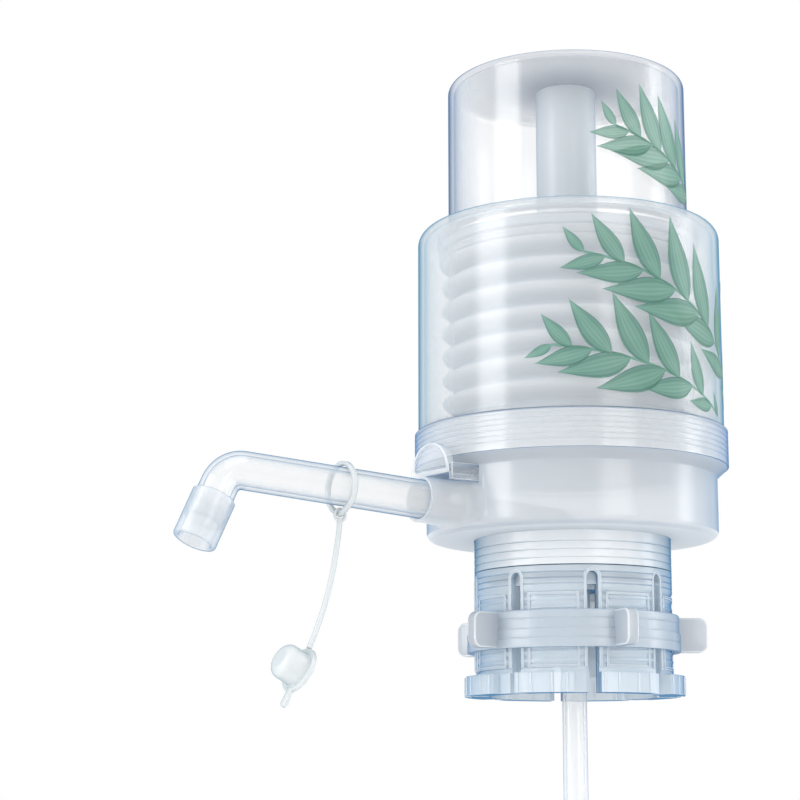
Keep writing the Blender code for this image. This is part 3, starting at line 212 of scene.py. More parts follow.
def turned(profile, sides=SHELL_SIDES, closed=True):
    """Spin an (r, z) outline about Z."""
    shape = bmesh.new()
    corners = [shape.verts.new((r, 0, z)) for r, z in profile]
    edges = [shape.edges.new(pair) for pair in zip(corners, corners[1:])]
    if closed:
        edges.append(shape.edges.new((corners[-1], corners[0])))
    bmesh.ops.spin(
        shape, geom=corners + edges, cent=(0, 0, 0), axis=(0, 0, 1),
        angle=2 * math.pi, steps=sides, use_duplicate=False,
    )
    return mesh_of(shape)


def bridge(shape, ring_a, ring_b):
    count = len(ring_a)
    for i in range(count):
        j = (i + 1) % count
        shape.faces.new((ring_a[i], ring_a[j], ring_b[j], ring_b[i]))


def loft_into(shape, rings, closed):
    """Join rings of points, back to the first or with a face on each end."""
    rings = [[shape.verts.new(point) for point in ring] for ring in rings]
    for ring_a, ring_b in zip(rings, rings[1:] + rings[:1] if closed else rings[1:]):
        bridge(shape, ring_a, ring_b)
    if not closed:
        shape.faces.new(rings[0])
        shape.faces.new(rings[-1])


def loft(rings, closed=False):
    shape = bmesh.new()
    loft_into(shape, rings, closed)
    return mesh_of(shape)


def prism_into(shape, outline, low, high, to_space):
    bottom = [shape.verts.new(to_space(u, v, low)) for u, v in outline]
    top = [shape.verts.new(to_space(u, v, high)) for u, v in outline]
    shape.faces.new(bottom)
    shape.faces.new(top)
    bridge(shape, bottom, top)


def prism(outline, low, high, to_space):
    shape = bmesh.new()
    prism_into(shape, outline, low, high, to_space)
    return mesh_of(shape)


def upright(u, v, w):
    return Vector((u, v, w))


def along_x(u, v, w):
    return Vector((w, u, v))


def port_point(distance):
    return PORT_START + distance * PORT_OUT


def along_port(u, v, w):
    return port_point(w) + u * Vector((0, 1, 0)) + v * PORT_UP


def radial(angle):
    """u sideways, v up, w outwards along a spoke."""
    out = Vector((math.cos(angle), math.sin(angle), 0))
    side = Vector((-math.sin(angle), math.cos(angle), 0))
    return lambda u, v, w: w * out + u * side + Vector((0, 0, v))


def curved_block(shape, turn_low, turn_high, low, high, inner, outer, steps=12):
    """A closed block of a cylinder's wall, between two turns, two heights and two radii."""
    rings = []
    for i in range(steps + 1):
        turn = turn_low + (turn_high - turn_low) * i / steps
        across = math.cos(turn)
        along = math.sin(turn)
        rings.append([(r * across, r * along, z) for r, z in rectangle(inner, outer, low, high)])
    loft_into(shape, rings, False)


def ring_of_points(centre, out, radius, sides=TUBE_SIDES):
    across = Vector((0, 1, 0))
    up = out.cross(across).normalized()
    angles = [2 * math.pi * i / sides for i in range(sides)]
    return [centre + radius * (math.cos(angle) * across + math.sin(angle) * up) for angle in angles]


def tube_between(stations):
    """A closed tube from (centre, direction, radius) stations that go out along it and back inside."""
    return loft([ring_of_points(*station) for station in stations], closed=True)


def bend_stations(corner, before, after, radius, steps):
    turn = before.angle(after)
    start = corner - radius * math.tan(turn / 2) * before
    inward = (after - before * before.dot(after)).normalized()
    centre = start + radius * inward
    stations = []
    for i in range(steps + 1):
        angle = turn * i / steps
        direction = math.cos(angle) * before + math.sin(angle) * inward
        stations.append((centre + radius * (math.sin(angle) * before - math.cos(angle) * inward), direction))
    return stations


# Objects


def new_object(name, data, material=None):
    """Put an object in the scene, with its data named after it."""
    data.name = name
    piece = bpy.data.objects.new(name, data)
    bpy.context.scene.collection.objects.link(piece)
    if material and not data.materials:
        data.materials.append(material)
    return piece


def new_curve(name, kind, places):
    curve = bpy.data.curves.new(name, "CURVE")
    curve.dimensions = "3D"
    spline = curve.splines.new(kind)
    spline.points.add(len(places) - 1)
    for point, place in zip(spline.points, places):
        point.co = (*place, 1)
    return curve


def evaluated_mesh(piece):
    bpy.context.view_layer.update()
    return bpy.data.meshes.new_from_object(piece.evaluated_get(bpy.context.evaluated_depsgraph_get()))


def make_plain(piece):
    """Swap the object's data for its evaluated mesh and drop its modifiers."""
    mesh = evaluated_mesh(piece)
    mesh.name = piece.name
    piece.modifiers.clear()
    piece.data = mesh
    return piece


def carve(piece, operation, helper_mesh):
    """Join or cut with a helper mesh that is then thrown away."""
    helper = new_object("helper", helper_mesh)
    modifier = piece.modifiers.new("carve", "BOOLEAN")
    modifier.operation = operation
    modifier.solver = "EXACT"
    modifier.object = helper
    make_plain(piece)
    bpy.data.objects.remove(helper, do_unlink=True)
    bpy.data.meshes.remove(helper_mesh)


def thicken(piece, thickness, offset):
    """Give a bare surface a wall, inwards at -1 and outwards at 1."""
    wall = piece.modifiers.new("wall", "SOLIDIFY")
    wall.thickness = thickness
    wall.offset = offset
    make_plain(piece)


def soften(piece, width, segments=2, lit=None):
    """A small round on the sharp edges, with its own material where clear edges catch the light: a whiter,
    more opaque painted highlight.
    """
    modifier = piece.modifiers.new("edge_round", "BEVEL")
    if lit:
        piece.data.materials.append(lit)
        modifier.material = len(piece.data.materials) - 1
    modifier.width = width
    modifier.segments = segments
    modifier.limit_method = "ANGLE"
    modifier.angle_limit = SHARP_ANGLE
    modifier.harden_normals = False
    make_plain(piece)


def finish_piece(piece, body, slot, *nodes):
    """Shade it, hide the CAD parts it stands for, and let it ride on its body."""
    if piece.type == "MESH":
        piece.data.shade_smooth()
        piece.data.set_sharp_from_angle(angle=SHARP_ANGLE)
    if nodes:
        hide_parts(*nodes)
    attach(piece, body)
    return piece


def add_piece(name, mesh, material, body, slot, *nodes):
    return finish_piece(new_object(name, mesh, material), body, slot, *nodes)


# Materials


def fill_inputs(tree, node, inputs):
    """Set each input's value, or link another node's output to it."""
    for socket, value in inputs.items():
        if isinstance(value, bpy.types.NodeSocket):
            tree.links.new(value, node.inputs[socket])
        else:
            node.inputs[socket].default_value = value


def add_node(tree, kind, inputs=None, **settings):
    """Add one node with its settings and inputs."""
    node = tree.nodes.new(kind)
    for name, value in settings.items():
        setattr(node, name, value)
    fill_inputs(tree, node, inputs or {})
    return node


def calc(tree, operation, *terms, **settings):
    node = add_node(tree, "ShaderNodeMath", dict(enumerate(terms)), operation=operation, **settings)
    return node.outputs[0]


def mapped(tree, value, *ends):
    """A value taken from one range (low, high) to another."""
    return add_node(tree, "ShaderNodeMapRange", dict(enumerate((value, *ends)))).outputs["Result"]


def blend(tree, share, first, second):
    return add_node(tree, "ShaderNodeMix", {0: share, 6: first, 7: second}, data_type="RGBA").outputs[2]


def mix_shader(tree, share, first, second):
    return add_node(tree, "ShaderNodeMixShader", {0: share, 1: first, 2: second}).outputs[0]


def new_material(name, values):
    """A material, its tree and its shader, with even values on the shader's own sockets."""
    material = bpy.data.materials.new(name)
    material.use_nodes = True
    tree = material.node_tree
    shader = tree.nodes["Principled BSDF"]
    fill_inputs(tree, shader, values)
    return material, tree, shader


def end_material(material, result):
    tree = material.node_tree
    tree.links.new(result, tree.nodes["Material Output"].inputs["Surface"])
    return material


def moulded_plastic(
    name, face, edge, haze, rim, roughness, wave, crisp=1.4, gloss=0.05, glow=0.0, middle=None
):
    """A thin moulded wall. Seen edge on, light has a longer way through it, so its colour
    deepens from face to edge and it hides more of what is behind it, from haze to rim;
    crisp narrows that edge. glow is the share of light that comes through from behind.
    Its gloss has a mould's slow waviness: wave is its millimetres from crest to crest and
    its depth. middle gives another colour and haze within one radius of the axis, which
    change to face and haze at another; it is used to paint shade, such as a darker middle
    or darker fold valleys."""
    material, tree, shader = new_material(name, {"Roughness": 0.7, "Specular IOR Level": 0.0})
    place = add_node(tree, "ShaderNodeTexCoord").outputs["Object"]
    facing = add_node(tree, "ShaderNodeLayerWeight", {"Blend": 0.25}).outputs["Facing"]
    depth = calc(tree, "POWER", mapped(tree, facing, 0.1, 0.62), crisp)
    if middle:
        colour, inside, outside, middle_haze = middle
        flat = add_node(tree, "ShaderNodeVectorMath", {0: place, 1: (1, 1, 0)}, operation="MULTIPLY")
        away = add_node(tree, "ShaderNodeVectorMath", {0: flat.outputs[0]}, operation="LENGTH")
        share = mapped(tree, away.outputs[1], inside, outside)
        face = blend(tree, share, colour, face)
        haze = mapped(tree, share, 0.0, 1.0, middle_haze, haze)
    tone = blend(tree, depth, face, edge)
    fill_inputs(tree, shader, {"Base Color": tone})
    scale = 1 / (wave[0] * MM)
    noise = add_node(tree, "ShaderNodeTexNoise", {"Scale": scale, "Detail": 1.0, "Vector": place})
    bump = add_node(
        tree, "ShaderNodeBump", {"Strength": 1.0, "Distance": wave[1] * MM, "Height": noise.outputs["Fac"]}
    ).outputs["Normal"]
    seen = shader.outputs[0]
    if glow:
        through = add_node(tree, "ShaderNodeBsdfTranslucent", {"Color": tone}).outputs[0]
        seen = mix_shader(tree, glow, seen, through)
    clear = add_node(tree, "ShaderNodeBsdfTransparent").outputs[0]
    wall = mix_shader(tree, mapped(tree, depth, 0.0, 1.0, haze, rim), clear, seen)
    mirror = add_node(tree, "ShaderNodeBsdfAnisotropic", {"Roughness": roughness, "Normal": bump}).outputs[0]
    return end_material(material, mix_shader(tree, gloss, wall, mirror))


def clear_san(name, face, edge, haze=0.08, rim=0.85, roughness=0.2, crisp=1.6, middle=None):
    """Styrene acrylonitrile, injection moulded and clear: glossy, with a grey-blue edge. Its
    gloss waves over 26 mm."""
    return moulded_plastic(name, face, edge, haze, rim, roughness, (26.0, 0.02), crisp, 0.045, middle=middle)


def frosted_pp(name, face, edge, haze=0.6, rim=0.95, roughness=0.3, crisp=1.4, glow=0.4, middle=None):
    """Natural polypropylene: milky, soft highlights, lets light through without an image. Its
    gloss waves over 9 mm."""
    wave = (9.0, 0.02)
    return moulded_plastic(name, face, edge, haze, rim, roughness, wave, crisp, glow=glow, middle=middle)


def silicone_rubber(name, face, edge):
    """Moulded silicone: satin, milky all through, so that light gets into it but no image. Its
    surface waves over 3 mm."""
    return moulded_plastic(name, face, edge, 1.0, 1.0, 0.35, (3.0, 0.003), glow=0.25)


def painted_edge_highlight():
    """The small rounds on clear mouldings, painted whiter and more opaque than the plastic: a painted
    highlight for the light they gather, showing as white lines.
    """
    made = bpy.data.materials.get("clear_edge_painted_highlight")
    return made or moulded_plastic(
        "clear_edge_painted_highlight", linear("#FAFCFD"), linear("#D3DEE9"), 0.7, 0.95, 0.12, (9.0, 0.01), glow=0.3
    )


def spring_wire(name, colour):
    """Drawn stainless wire: bright, with fine lines left by the die, 0.4 mm apart."""
    material, tree, shader = new_material(name, {"Base Color": colour, "Metallic": 1.0})
    place = add_node(tree, "ShaderNodeTexCoord").outputs["Object"]
    lines = add_node(tree, "ShaderNodeTexNoise", {"Scale": 1 / (0.4 * MM), "Vector": place}).outputs["Fac"]
    fill_inputs(tree, shader, {"Roughness": mapped(tree, lines, 0.0, 1.0, 0.22, 0.36)})
    return material


def leaf_ink(name, light, dark):
    """Screen-printed translucent ink: light green blades with darker veins along them.
    leaf_place holds how far along and across its blade each point lies."""
    material, tree, shader = new_material(name, {"Roughness": 0.35})
    place = add_node(tree, "ShaderNodeAttribute", attribute_name="leaf_place").outputs["Vector"]
    across = add_node(tree, "ShaderNodeSeparateXYZ", {0: place}).outputs["Y"]
    veins = calc(tree, "SINE", calc(tree, "MULTIPLY", across, 34.0))
    rim = mapped(tree, calc(tree, "ABSOLUTE", across), 0.15, 0.5, 0.0, 0.55)
    amount = calc(tree, "ADD", mapped(tree, veins, -1.0, 1.0, 0.0, 0.28), rim)
    tone = blend(tree, amount, light, dark)
    fill_inputs(tree, shader, {"Base Color": tone})
    through = add_node(tree, "ShaderNodeBsdfTranslucent", {"Color": tone}).outputs[0]
    ink = mix_shader(tree, 0.4, shader.outputs[0], through)
    clear = add_node(tree, "ShaderNodeBsdfTransparent").outputs[0]
    return end_material(material, mix_shader(tree, 0.55, clear, ink))


# Geometry Nodes


def new_node_group(name, inputs):
    """A Geometry Nodes tree with a geometry input and output, named sizes and a material."""
    tree = bpy.data.node_groups.new(name, "GeometryNodeTree")
    tree.interface.new_socket("Geometry", in_out="INPUT", socket_type="NodeSocketGeometry")
    for label, default in inputs.items():
        kind = "NodeSocketInt" if isinstance(default, int) else "NodeSocketFloat"
        tree.interface.new_socket(label, in_out="INPUT", socket_type=kind).default_value = default
    tree.interface.new_socket("Material", in_out="INPUT", socket_type="NodeSocketMaterial")
    tree.interface.new_socket("Geometry", in_out="OUTPUT", socket_type="NodeSocketGeometry")
    return tree, tree.nodes.new("NodeGroupInput").outputs, tree.nodes.new("NodeGroupOutput").inputs


def end_tree(tree, geometry, given, result):
    """Realize the instances and set the material, as every tree here ends."""
    real = add_node(tree, "GeometryNodeRealizeInstances", {0: geometry}).outputs[0]
    painted = add_node(tree, "GeometryNodeSetMaterial", {"Geometry": real, "Material": given["Material"]})
    tree.links.new(painted.outputs[0], result["Geometry"])
    return tree


def put_tree(piece, tree, values):
    """Put the tree on the piece and set its inputs by identifier."""
    modifier = piece.modifiers.new(tree.name, "NODES")
    modifier.node_group = tree
    for item in tree.interface.items_tree:
        if item.item_type == "SOCKET" and item.in_out == "INPUT" and item.name in values:
            modifier[item.identifier] = values[item.name]


def run_tree(piece, tree, material, values):
    put_tree(piece, tree, {**values, "Material": material})
    make_plain(piece)


def position_parts(tree):
    place = add_node(tree, "GeometryNodeInputPosition").outputs[0]
    return add_node(tree, "ShaderNodeSeparateXYZ", {0: place}).outputs


def joined_parts(tree, **parts):
    return add_node(tree, "ShaderNodeCombineXYZ", parts).outputs[0]


def round_axis(tree, angle, radius, height):
    """The place at an angle, a radius and a height about Z."""
    x = calc(tree, "MULTIPLY", calc(tree, "COSINE", angle), radius)
    y = calc(tree, "MULTIPLY", calc(tree, "SINE", angle), radius)
    return joined_parts(tree, X=x, Y=y, Z=height)


def set_position(tree, geometry, **where):
    return add_node(tree, "GeometryNodeSetPosition", {"Geometry": geometry, **where}).outputs[0]


def ring_of_copies_tree():
    """Copies of the object's own mesh, turned about Z at even steps."""
    tree, given, result = new_node_group("Ring of copies", {"Count": 8, "First Angle": 0.0})
    points = add_node(
        tree, "GeometryNodeMeshLine", {"Count": given["Count"], "Offset": (0, 0, 0)}, mode="OFFSET"
    ).outputs[0]
    index = add_node(tree, "GeometryNodeInputIndex").outputs[0]
    step = calc(tree, "DIVIDE", 2 * math.pi, given["Count"])
    turn = joined_parts(tree, Z=calc(tree, "MULTIPLY_ADD", index, step, given["First Angle"]))
    copies = add_node(
        tree, "GeometryNodeInstanceOnPoints",
        {"Points": points, "Instance": given["Geometry"], "Rotation": turn},
    ).outputs[0]
    return end_tree(tree, copies, given, result)


def bellows_tree():
    """A folded wall of revolution, whose radius follows a rounded wave up its height, with
    half a fold at each end."""
    tree, given, result = new_node_group("Bellows wall", {
        "Low": 0.0, "Height": 0.07, "Folds": 8, "Peak Radius": 0.046, "Valley Radius": 0.0395,
        "Sides": 144, "Rows": 113,
    })
    grid = add_node(
        tree, "GeometryNodeMeshGrid",
        {"Size X": 1.0, "Size Y": 1.0, "Vertices X": given["Sides"], "Vertices Y": given["Rows"]},
    ).outputs[0]
    parts = position_parts(tree)
    angle = calc(tree, "MULTIPLY", parts["X"], 2 * math.pi)
    share = calc(tree, "ADD", parts["Y"], 0.5)
    phase = calc(tree, "MULTIPLY", calc(tree, "MULTIPLY", share, given["Folds"]), 2 * math.pi)
    wave = calc(tree, "COSINE", phase)
    radius = mapped(tree, wave, -1.0, 1.0, given["Valley Radius"], given["Peak Radius"])
    height = calc(tree, "MULTIPLY_ADD", share, given["Height"], given["Low"])
    wall = set_position(tree, grid, Position=round_axis(tree, angle, radius, height))
    seam = add_node(tree, "GeometryNodeMergeByDistance", {"Geometry": wall, "Distance": 0.01 * MM}).outputs[0]
    return end_tree(tree, seam, given, result)


# The blades lie over each other by this much, as print layers do
BLADE_LAYER = 0.012 * MM


def leaf_spray_tree():
    """Blades set in pairs along a stem. The stem is drawn flat, x round the wall and z up
    it, and everything is then wrapped on a cylinder of the given radius."""
    tree, given, result = new_node_group("Leaf spray", {
        "Blades": 14, "Blade Length": 0.03, "Blade Width": 0.007, "Spread": 0.7, "Radius": 0.055,
        "Stem Width": 0.0009, "Seed": 3,
    })
    # One blade of length 1: widest before its middle, pointed at its ends, drooping to its tip
    leaf = add_node(
        tree, "GeometryNodeMeshGrid", {"Size X": 1.0, "Size Y": 1.0, "Vertices X": 25, "Vertices Y": 7}
    ).outputs[0]
    parts = position_parts(tree)
    along = calc(tree, "ADD", parts["X"], 0.5, use_clamp=True)
    belly = calc(tree, "SINE", calc(tree, "MULTIPLY", calc(tree, "POWER", along, 0.72), math.pi))
    ratio = calc(tree, "DIVIDE", given["Blade Width"], given["Blade Length"])
    width = calc(tree, "MULTIPLY", calc(tree, "POWER", belly, 1.15), ratio)
    across = calc(tree, "MULTIPLY", parts["Y"], width)
    droop = calc(tree, "MULTIPLY_ADD", calc(tree, "POWER", along, 2.0), -0.14, across)
    place = add_node(tree, "GeometryNodeInputPosition").outputs[0]
    kept = add_node(
        tree, "GeometryNodeStoreNamedAttribute", {"Geometry": leaf, "Name": "leaf_place", "Value": place},
        data_type="FLOAT_VECTOR", domain="POINT",
    ).outputs[0]
    blade = set_position(tree, kept, Position=joined_parts(tree, X=along, Z=droop))

    # Blades left and right of the stem by turns, a little uneven, longest in the middle
    points = add_node(
        tree, "GeometryNodeResampleCurve", {"Curve": given["Geometry"], "Count": given["Blades"]}
    ).outputs[0]
    tangent = add_node(tree, "GeometryNodeInputTangent").outputs[0]
    heading = add_node(tree, "ShaderNodeSeparateXYZ", {0: tangent}).outputs
    stem_angle = calc(tree, "ARCTAN2", heading["Z"], heading["X"])
    index = add_node(tree, "GeometryNodeInputIndex").outputs[0]
    side = calc(tree, "MULTIPLY_ADD", calc(tree, "MODULO", index, 2.0), 2.0, -1.0)
    wobble = add_node(
        tree, "FunctionNodeRandomValue", {2: 0.8, 3: 1.15, "Seed": given["Seed"]}, data_type="FLOAT"
    ).outputs[1]
    spread = calc(tree, "MULTIPLY", given["Spread"], wobble)
    turned_by = calc(tree, "MULTIPLY_ADD", side, spread, stem_angle)
    rotation = joined_parts(tree, Y=calc(tree, "MULTIPLY", turned_by, -1.0))
    layer = joined_parts(tree, Y=calc(tree, "MULTIPLY", index, -BLADE_LAYER))
    factor = add_node(tree, "GeometryNodeSplineParameter").outputs["Factor"]
    swell = calc(tree, "SINE", mapped(tree, factor, 0.0, 1.0, 0.35, 2.75))
    blades = add_node(tree, "GeometryNodeInstanceOnPoints", {
        "Points": set_position(tree, points, Offset=layer), "Instance": blade,
        "Rotation": rotation, "Scale": calc(tree, "MULTIPLY", swell, given["Blade Length"]),
    }).outputs[0]

    half_stem = calc(tree, "MULTIPLY", given["Stem Width"], 0.5)
    line = add_node(
        tree, "GeometryNodeCurvePrimitiveLine", {"Start": (0, -1, 0), "End": (0, 1, 0)}, mode="POINTS"
    ).outputs[0]
    section = add_node(tree, "GeometryNodeTransform", {"Geometry": line, "Scale": half_stem}).outputs[0]
    stem = add_node(
        tree, "GeometryNodeCurveToMesh", {"Curve": given["Geometry"], "Profile Curve": section}
    ).outputs[0]
    joined = add_node(tree, "GeometryNodeJoinGeometry", {0: blades})
    tree.links.new(stem, joined.inputs[0])
    solid = add_node(tree, "GeometryNodeRealizeInstances", {0: joined.outputs[0]}).outputs[0]
    where = position_parts(tree)
    angle = calc(tree, "DIVIDE", where["X"], given["Radius"])
    radius = calc(tree, "SUBTRACT", given["Radius"], where["Y"])
    wrapped = set_position(tree, solid, Position=round_axis(tree, angle, radius, where["Z"]))
    return end_tree(tree, wrapped, given, result)


# Stage


CAMERA_PLACE = (-0.4715, -0.5659, -0.0685)
CAMERA_HEADING = (0.574, 0.819)
CAMERA_PITCH = 10.7 * DEG
CAMERA_LENS = 93.15
LAMP_AIM = Vector((0, 0, 0.08))
LAMPS = (
    ("key_panel", (-0.93, 0.13, 0.34), (0.4, 0.9), 5.2),
    ("fill_panel", (0.79, -0.5, 0.30), (0.26, 0.9), 3.2),
    ("front_panel", (-0.10, -1.0, 0.22), (0.42, 0.6), 2.0),
    ("top_panel", (0.0, -0.35, 0.95), (0.7, 0.7), 2.4),
)
FLOOR_Z = -316.0 * MM
WHITE = (1, 1, 1, 1)


def aim(piece, direction):
    piece.rotation_mode = "QUATERNION"
    piece.rotation_quaternion = direction.to_track_quat("-Z", "Y")


class PUMP_OT_stage(bpy.types.Operator):
    """Camera, plain soft light, white surroundings and floor"""
    bl_idname = "pump.stage"
    bl_label = "Stage"

    def execute(self, context):
        data = bpy.data.cameras.new("camera")
        data.lens = CAMERA_LENS
        data.sensor_width = 36.0
        camera = new_object("camera", data)
        camera.location = CAMERA_PLACE
        level = math.cos(CAMERA_PITCH)
        aim(camera, Vector((level * CAMERA_HEADING[0], level * CAMERA_HEADING[1], math.sin(CAMERA_PITCH))))
        context.scene.camera = camera
        context.scene.view_settings.view_transform = "Standard"
        self.make_world(context.scene)
        for name, place, sides, power in LAMPS:
            light = bpy.data.lights.new(name, "AREA")
            light.shape = "RECTANGLE"
            light.size, light.size_y = sides
            light.energy = power
            lamp = new_object(name, light)
            lamp.location = place
            aim(lamp, LAMP_AIM - Vector(place))
        self.make_floor()
        return {"FINISHED"}

    def make_world(self, scene):
        """White to the camera and through gloss and clear plastic, plain light to the rest."""
        world = bpy.data.worlds.new("white_room")
        world.use_nodes = True
        scene.world = world
        tree = world.node_tree
        tree.nodes.clear()
        rays = add_node(tree, "ShaderNodeLightPath").outputs
        seen = calc(tree, "MAXIMUM", rays["Is Camera Ray"], rays["Is Transmission Ray"])
        seen = calc(tree, "MAXIMUM", seen, rays["Is Glossy Ray"])
        plain = add_node(tree, "ShaderNodeBackground", {"Color": WHITE, "Strength": 0.72}).outputs[0]
        white = add_node(tree, "ShaderNodeBackground", {"Color": WHITE, "Strength": 1.0}).outputs[0]
        add_node(tree, "ShaderNodeOutputWorld", {"Surface": mix_shader(tree, seen, plain, white)})

    def make_floor(self):
        """White paper sweep, which keeps the shadow near the object and is plain white further off."""
        material, tree, shader = new_material("white_paper", {
            "Base Color": linear("#F4F4F4"), "Roughness": 0.9, "Specular IOR Level": 0.1,
            "Emission Color": WHITE, "Emission Strength": 0.12,
        })
        place = add_node(tree, "ShaderNodeTexCoord").outputs["Object"]
        away = add_node(tree, "ShaderNodeVectorMath", {0: place}, operation="LENGTH").outputs[1]
        rays = add_node(tree, "ShaderNodeLightPath").outputs
        seen = calc(tree, "MULTIPLY", mapped(tree, away, 0.5, 1.1), rays["Is Camera Ray"])
        white = add_node(tree, "ShaderNodeEmission", {"Color": WHITE, "Strength": 1.0}).outputs[0]
        end_material(material, mix_shader(tree, seen, shader.outputs[0], white))
        mesh = prism(rectangle(-3, 3, -3, 3), FLOOR_Z - 0.01, FLOOR_Z, upright)
        new_object("floor", mesh, material)


# Plug, strap and ring


# The strap's way down from its ring, in millimetres outwards and upwards
STRAP_ROUTE = (
    (0.0, 0.0), (-0.3, -4.6), (-1.6, -12.5), (-3.0, -19.5), (-5.4, -28.0), (-8.6, -36.5), (-11.6, -43.2),
)
STRAP_R = 0.9 * MM
STRAP_POINTS = 24
RING_S = 98.7 * MM
RING_INNER_R = 7.4 * MM
RING_TIP = 9.8 * MM
RING_EYE = 8.5 * MM
RING_T = 2.2 * MM
EYE_R = 2.0 * MM
EYE_WIRE_R = 0.5 * MM
EYE_STEPS = 40
PLUG_LEAN = 27.0 * DEG
PLUG_FLANGE_R = 7.75 * MM
PLUG_FLANGE_T = 1.5 * MM
GAP = 0.3 * MM


def ring_centre():
    drop = RING_INNER_R - sizes().spout_r - GAP
    return port_point(RING_S) - drop * PORT_UP


def strap_points():
    """Even points of a smooth curve through the strap's route."""
    start = ring_centre() - (RING_TIP + GAP) * PORT_UP
    route = [start + Vector((x * MM, 0, z * MM)) for x, z in STRAP_ROUTE]
    keys = [2 * route[0] - route[1]] + route + [2 * route[-1] - route[-2]]
    spans = len(route) - 1
    points = []
    for i in range(STRAP_POINTS):
        along = spans * i / (STRAP_POINTS - 1)
        span = min(int(along), spans - 1)
        t = along - span
        a, b, c, d = keys[span:span + 4]
        bend = 2 * a - 5 * b + 4 * c - d
        twist = 3 * b - a - 3 * c + d
        points.append(0.5 * (2 * b + (c - a) * t + bend * t * t + twist * t ** 3))
    return points


class PUMP_OT_dust_plug(bpy.types.Operator):
    """Plug ring round the spout, its strap, and the domed dust plug"""
    bl_idname = "pump.dust_plug"
    bl_label = "Dust plug"

    def execute(self, context):
        rubber = silicone_rubber("moulded_silicone", colours().silicone, linear("#A3B7C0"))
        plug = self.make_plug(rubber)
        points = strap_points()
        curve = new_curve("plug_strap_silicone", "POLY", points)
        curve.bevel_depth = STRAP_R
        curve.bevel_resolution = 5
        curve.use_fill_caps = True
        strap = new_object("plug_strap_silicone", curve, rubber)
        finish_piece(strap, "plug_strap", "silicone", "plug_strap")
        self.make_eye(rubber)
        self.make_ring(rubber)
        return {"FINISHED"}

    def make_eye(self, rubber):
        """The strap's own small eye, round the ring's lowest point."""
        centre = ring_centre() - (RING_TIP + RING_EYE) / 2 * PORT_UP
        rings = []
        for i in range(EYE_STEPS):
            turn = 2 * math.pi * i / EYE_STEPS
            spoke = Vector((math.cos(turn), 0, math.sin(turn)))
            along = Vector((-spoke.z, 0, spoke.x))
            rings.append(ring_of_points(centre + EYE_R * spoke, along, EYE_WIRE_R, 12))
        return add_piece("plug_strap_eye", loft(rings, closed=True), rubber, "plug_strap", "silicone")

    def make_plug(self, rubber):
        """Round flange with a dome in front and a finger tab at its foot."""
        down = Vector((-math.sin(PLUG_LEAN), 0, -math.cos(PLUG_LEAN)))
        out = Vector((-math.cos(PLUG_LEAN), 0, math.sin(PLUG_LEAN)))
        place = Matrix((down, out.cross(down), out)).transposed().to_4x4()
        place.translation = strap_points()[-1] + (PLUG_FLANGE_R + GAP) * down
        back = -PLUG_FLANGE_T / 2
        front = PLUG_FLANGE_T / 2
        profile = [(0, back + 0.8 * MM), (4.9 * MM, back + 0.8 * MM), (5.7 * MM, back)]
        profile += [(PLUG_FLANGE_R, back), (PLUG_FLANGE_R, front), (5.9 * MM, front)]
        profile += arc((3.0 * MM, 5.6 * MM), 2.9 * MM, 0, math.pi / 2, 8)
        profile += [(0, 8.5 * MM)]
        mesh = turned(eased(profile, 0.35 * MM, closed=False), SMALL_SIDES, closed=False)
        mesh.transform(place)
        plug = new_object("dust_plug_dome", mesh, rubber)
        outline = in_mm((6.2, -1.5), (8.6, -1.2))
        outline += arc((11.75 * MM, 0), 1.5 * MM, -math.pi / 2, math.pi / 2, 10)
        outline += in_mm((8.6, 1.2), (6.2, 1.5))
        tab = new_object("tab", prism(outline, -0.8 * MM, 0.8 * MM, upright))
        soften(tab, 0.35 * MM)
        grip = tab.data
        bpy.data.objects.remove(tab, do_unlink=True)
        grip.transform(place)
        carve(plug, "UNION", grip)
        return finish_piece(plug, "plug_strap", "silicone", "dust_plug")

    def make_ring(self, rubber):
        """A round-edged band drawn out to a point below, where the strap joins it."""
        def teardrop(radius, tip):
            half = math.acos(radius / tip)
            return arc((0, 0), radius, -math.pi / 2 + half, 1.5 * math.pi - half, 72) + [(0, -tip)]

        centre = ring_centre()
        inner = teardrop(RING_INNER_R, RING_EYE)
        outer = teardrop(RING_INNER_R + 1.5 * MM, RING_TIP)
        near = [(0, 0.55), (0.25, 0.95), (0.5, 1), (0.75, 0.95), (1, 0.55)]
        section = [(share, -side) for share, side in near] + near[::-1]
        rings = []
        for share, side in section:
            middle = centre + side * RING_T / 2 * PORT_OUT
            rings.append([
                middle + (a[0] + (b[0] - a[0]) * share) * Vector((0, 1, 0))
                + (a[1] + (b[1] - a[1]) * share) * PORT_UP
                for a, b in zip(inner, outer)
            ])
        band = loft(rings, closed=True)
        add_piece("plug_ring_band", band, rubber, "plug_ring", "silicone", "plug_ring")


# Press cap and what hangs under it


CAP_FOOT = 127.3 * MM
COLUMN_SIDES = 96
PLATE_EASE = 0.5 * MM
BELLOWS_LOW = 51.25 * MM
BELLOWS_HEIGHT = 68.9 * MM
BELLOWS_WALL = 0.9 * MM
ROWS_PER_FOLD = 14
SPRING_START = -44.65 * MM
SPRING_RUN = 10.4 * MM
SPRING_Z = 38.9 * MM
SPRING_R = 1.8 * MM
SPRING_WIRE_R = 0.3 * MM
SPRING_TURNS = 5
SPRING_STEPS = 24 * SPRING_TURNS


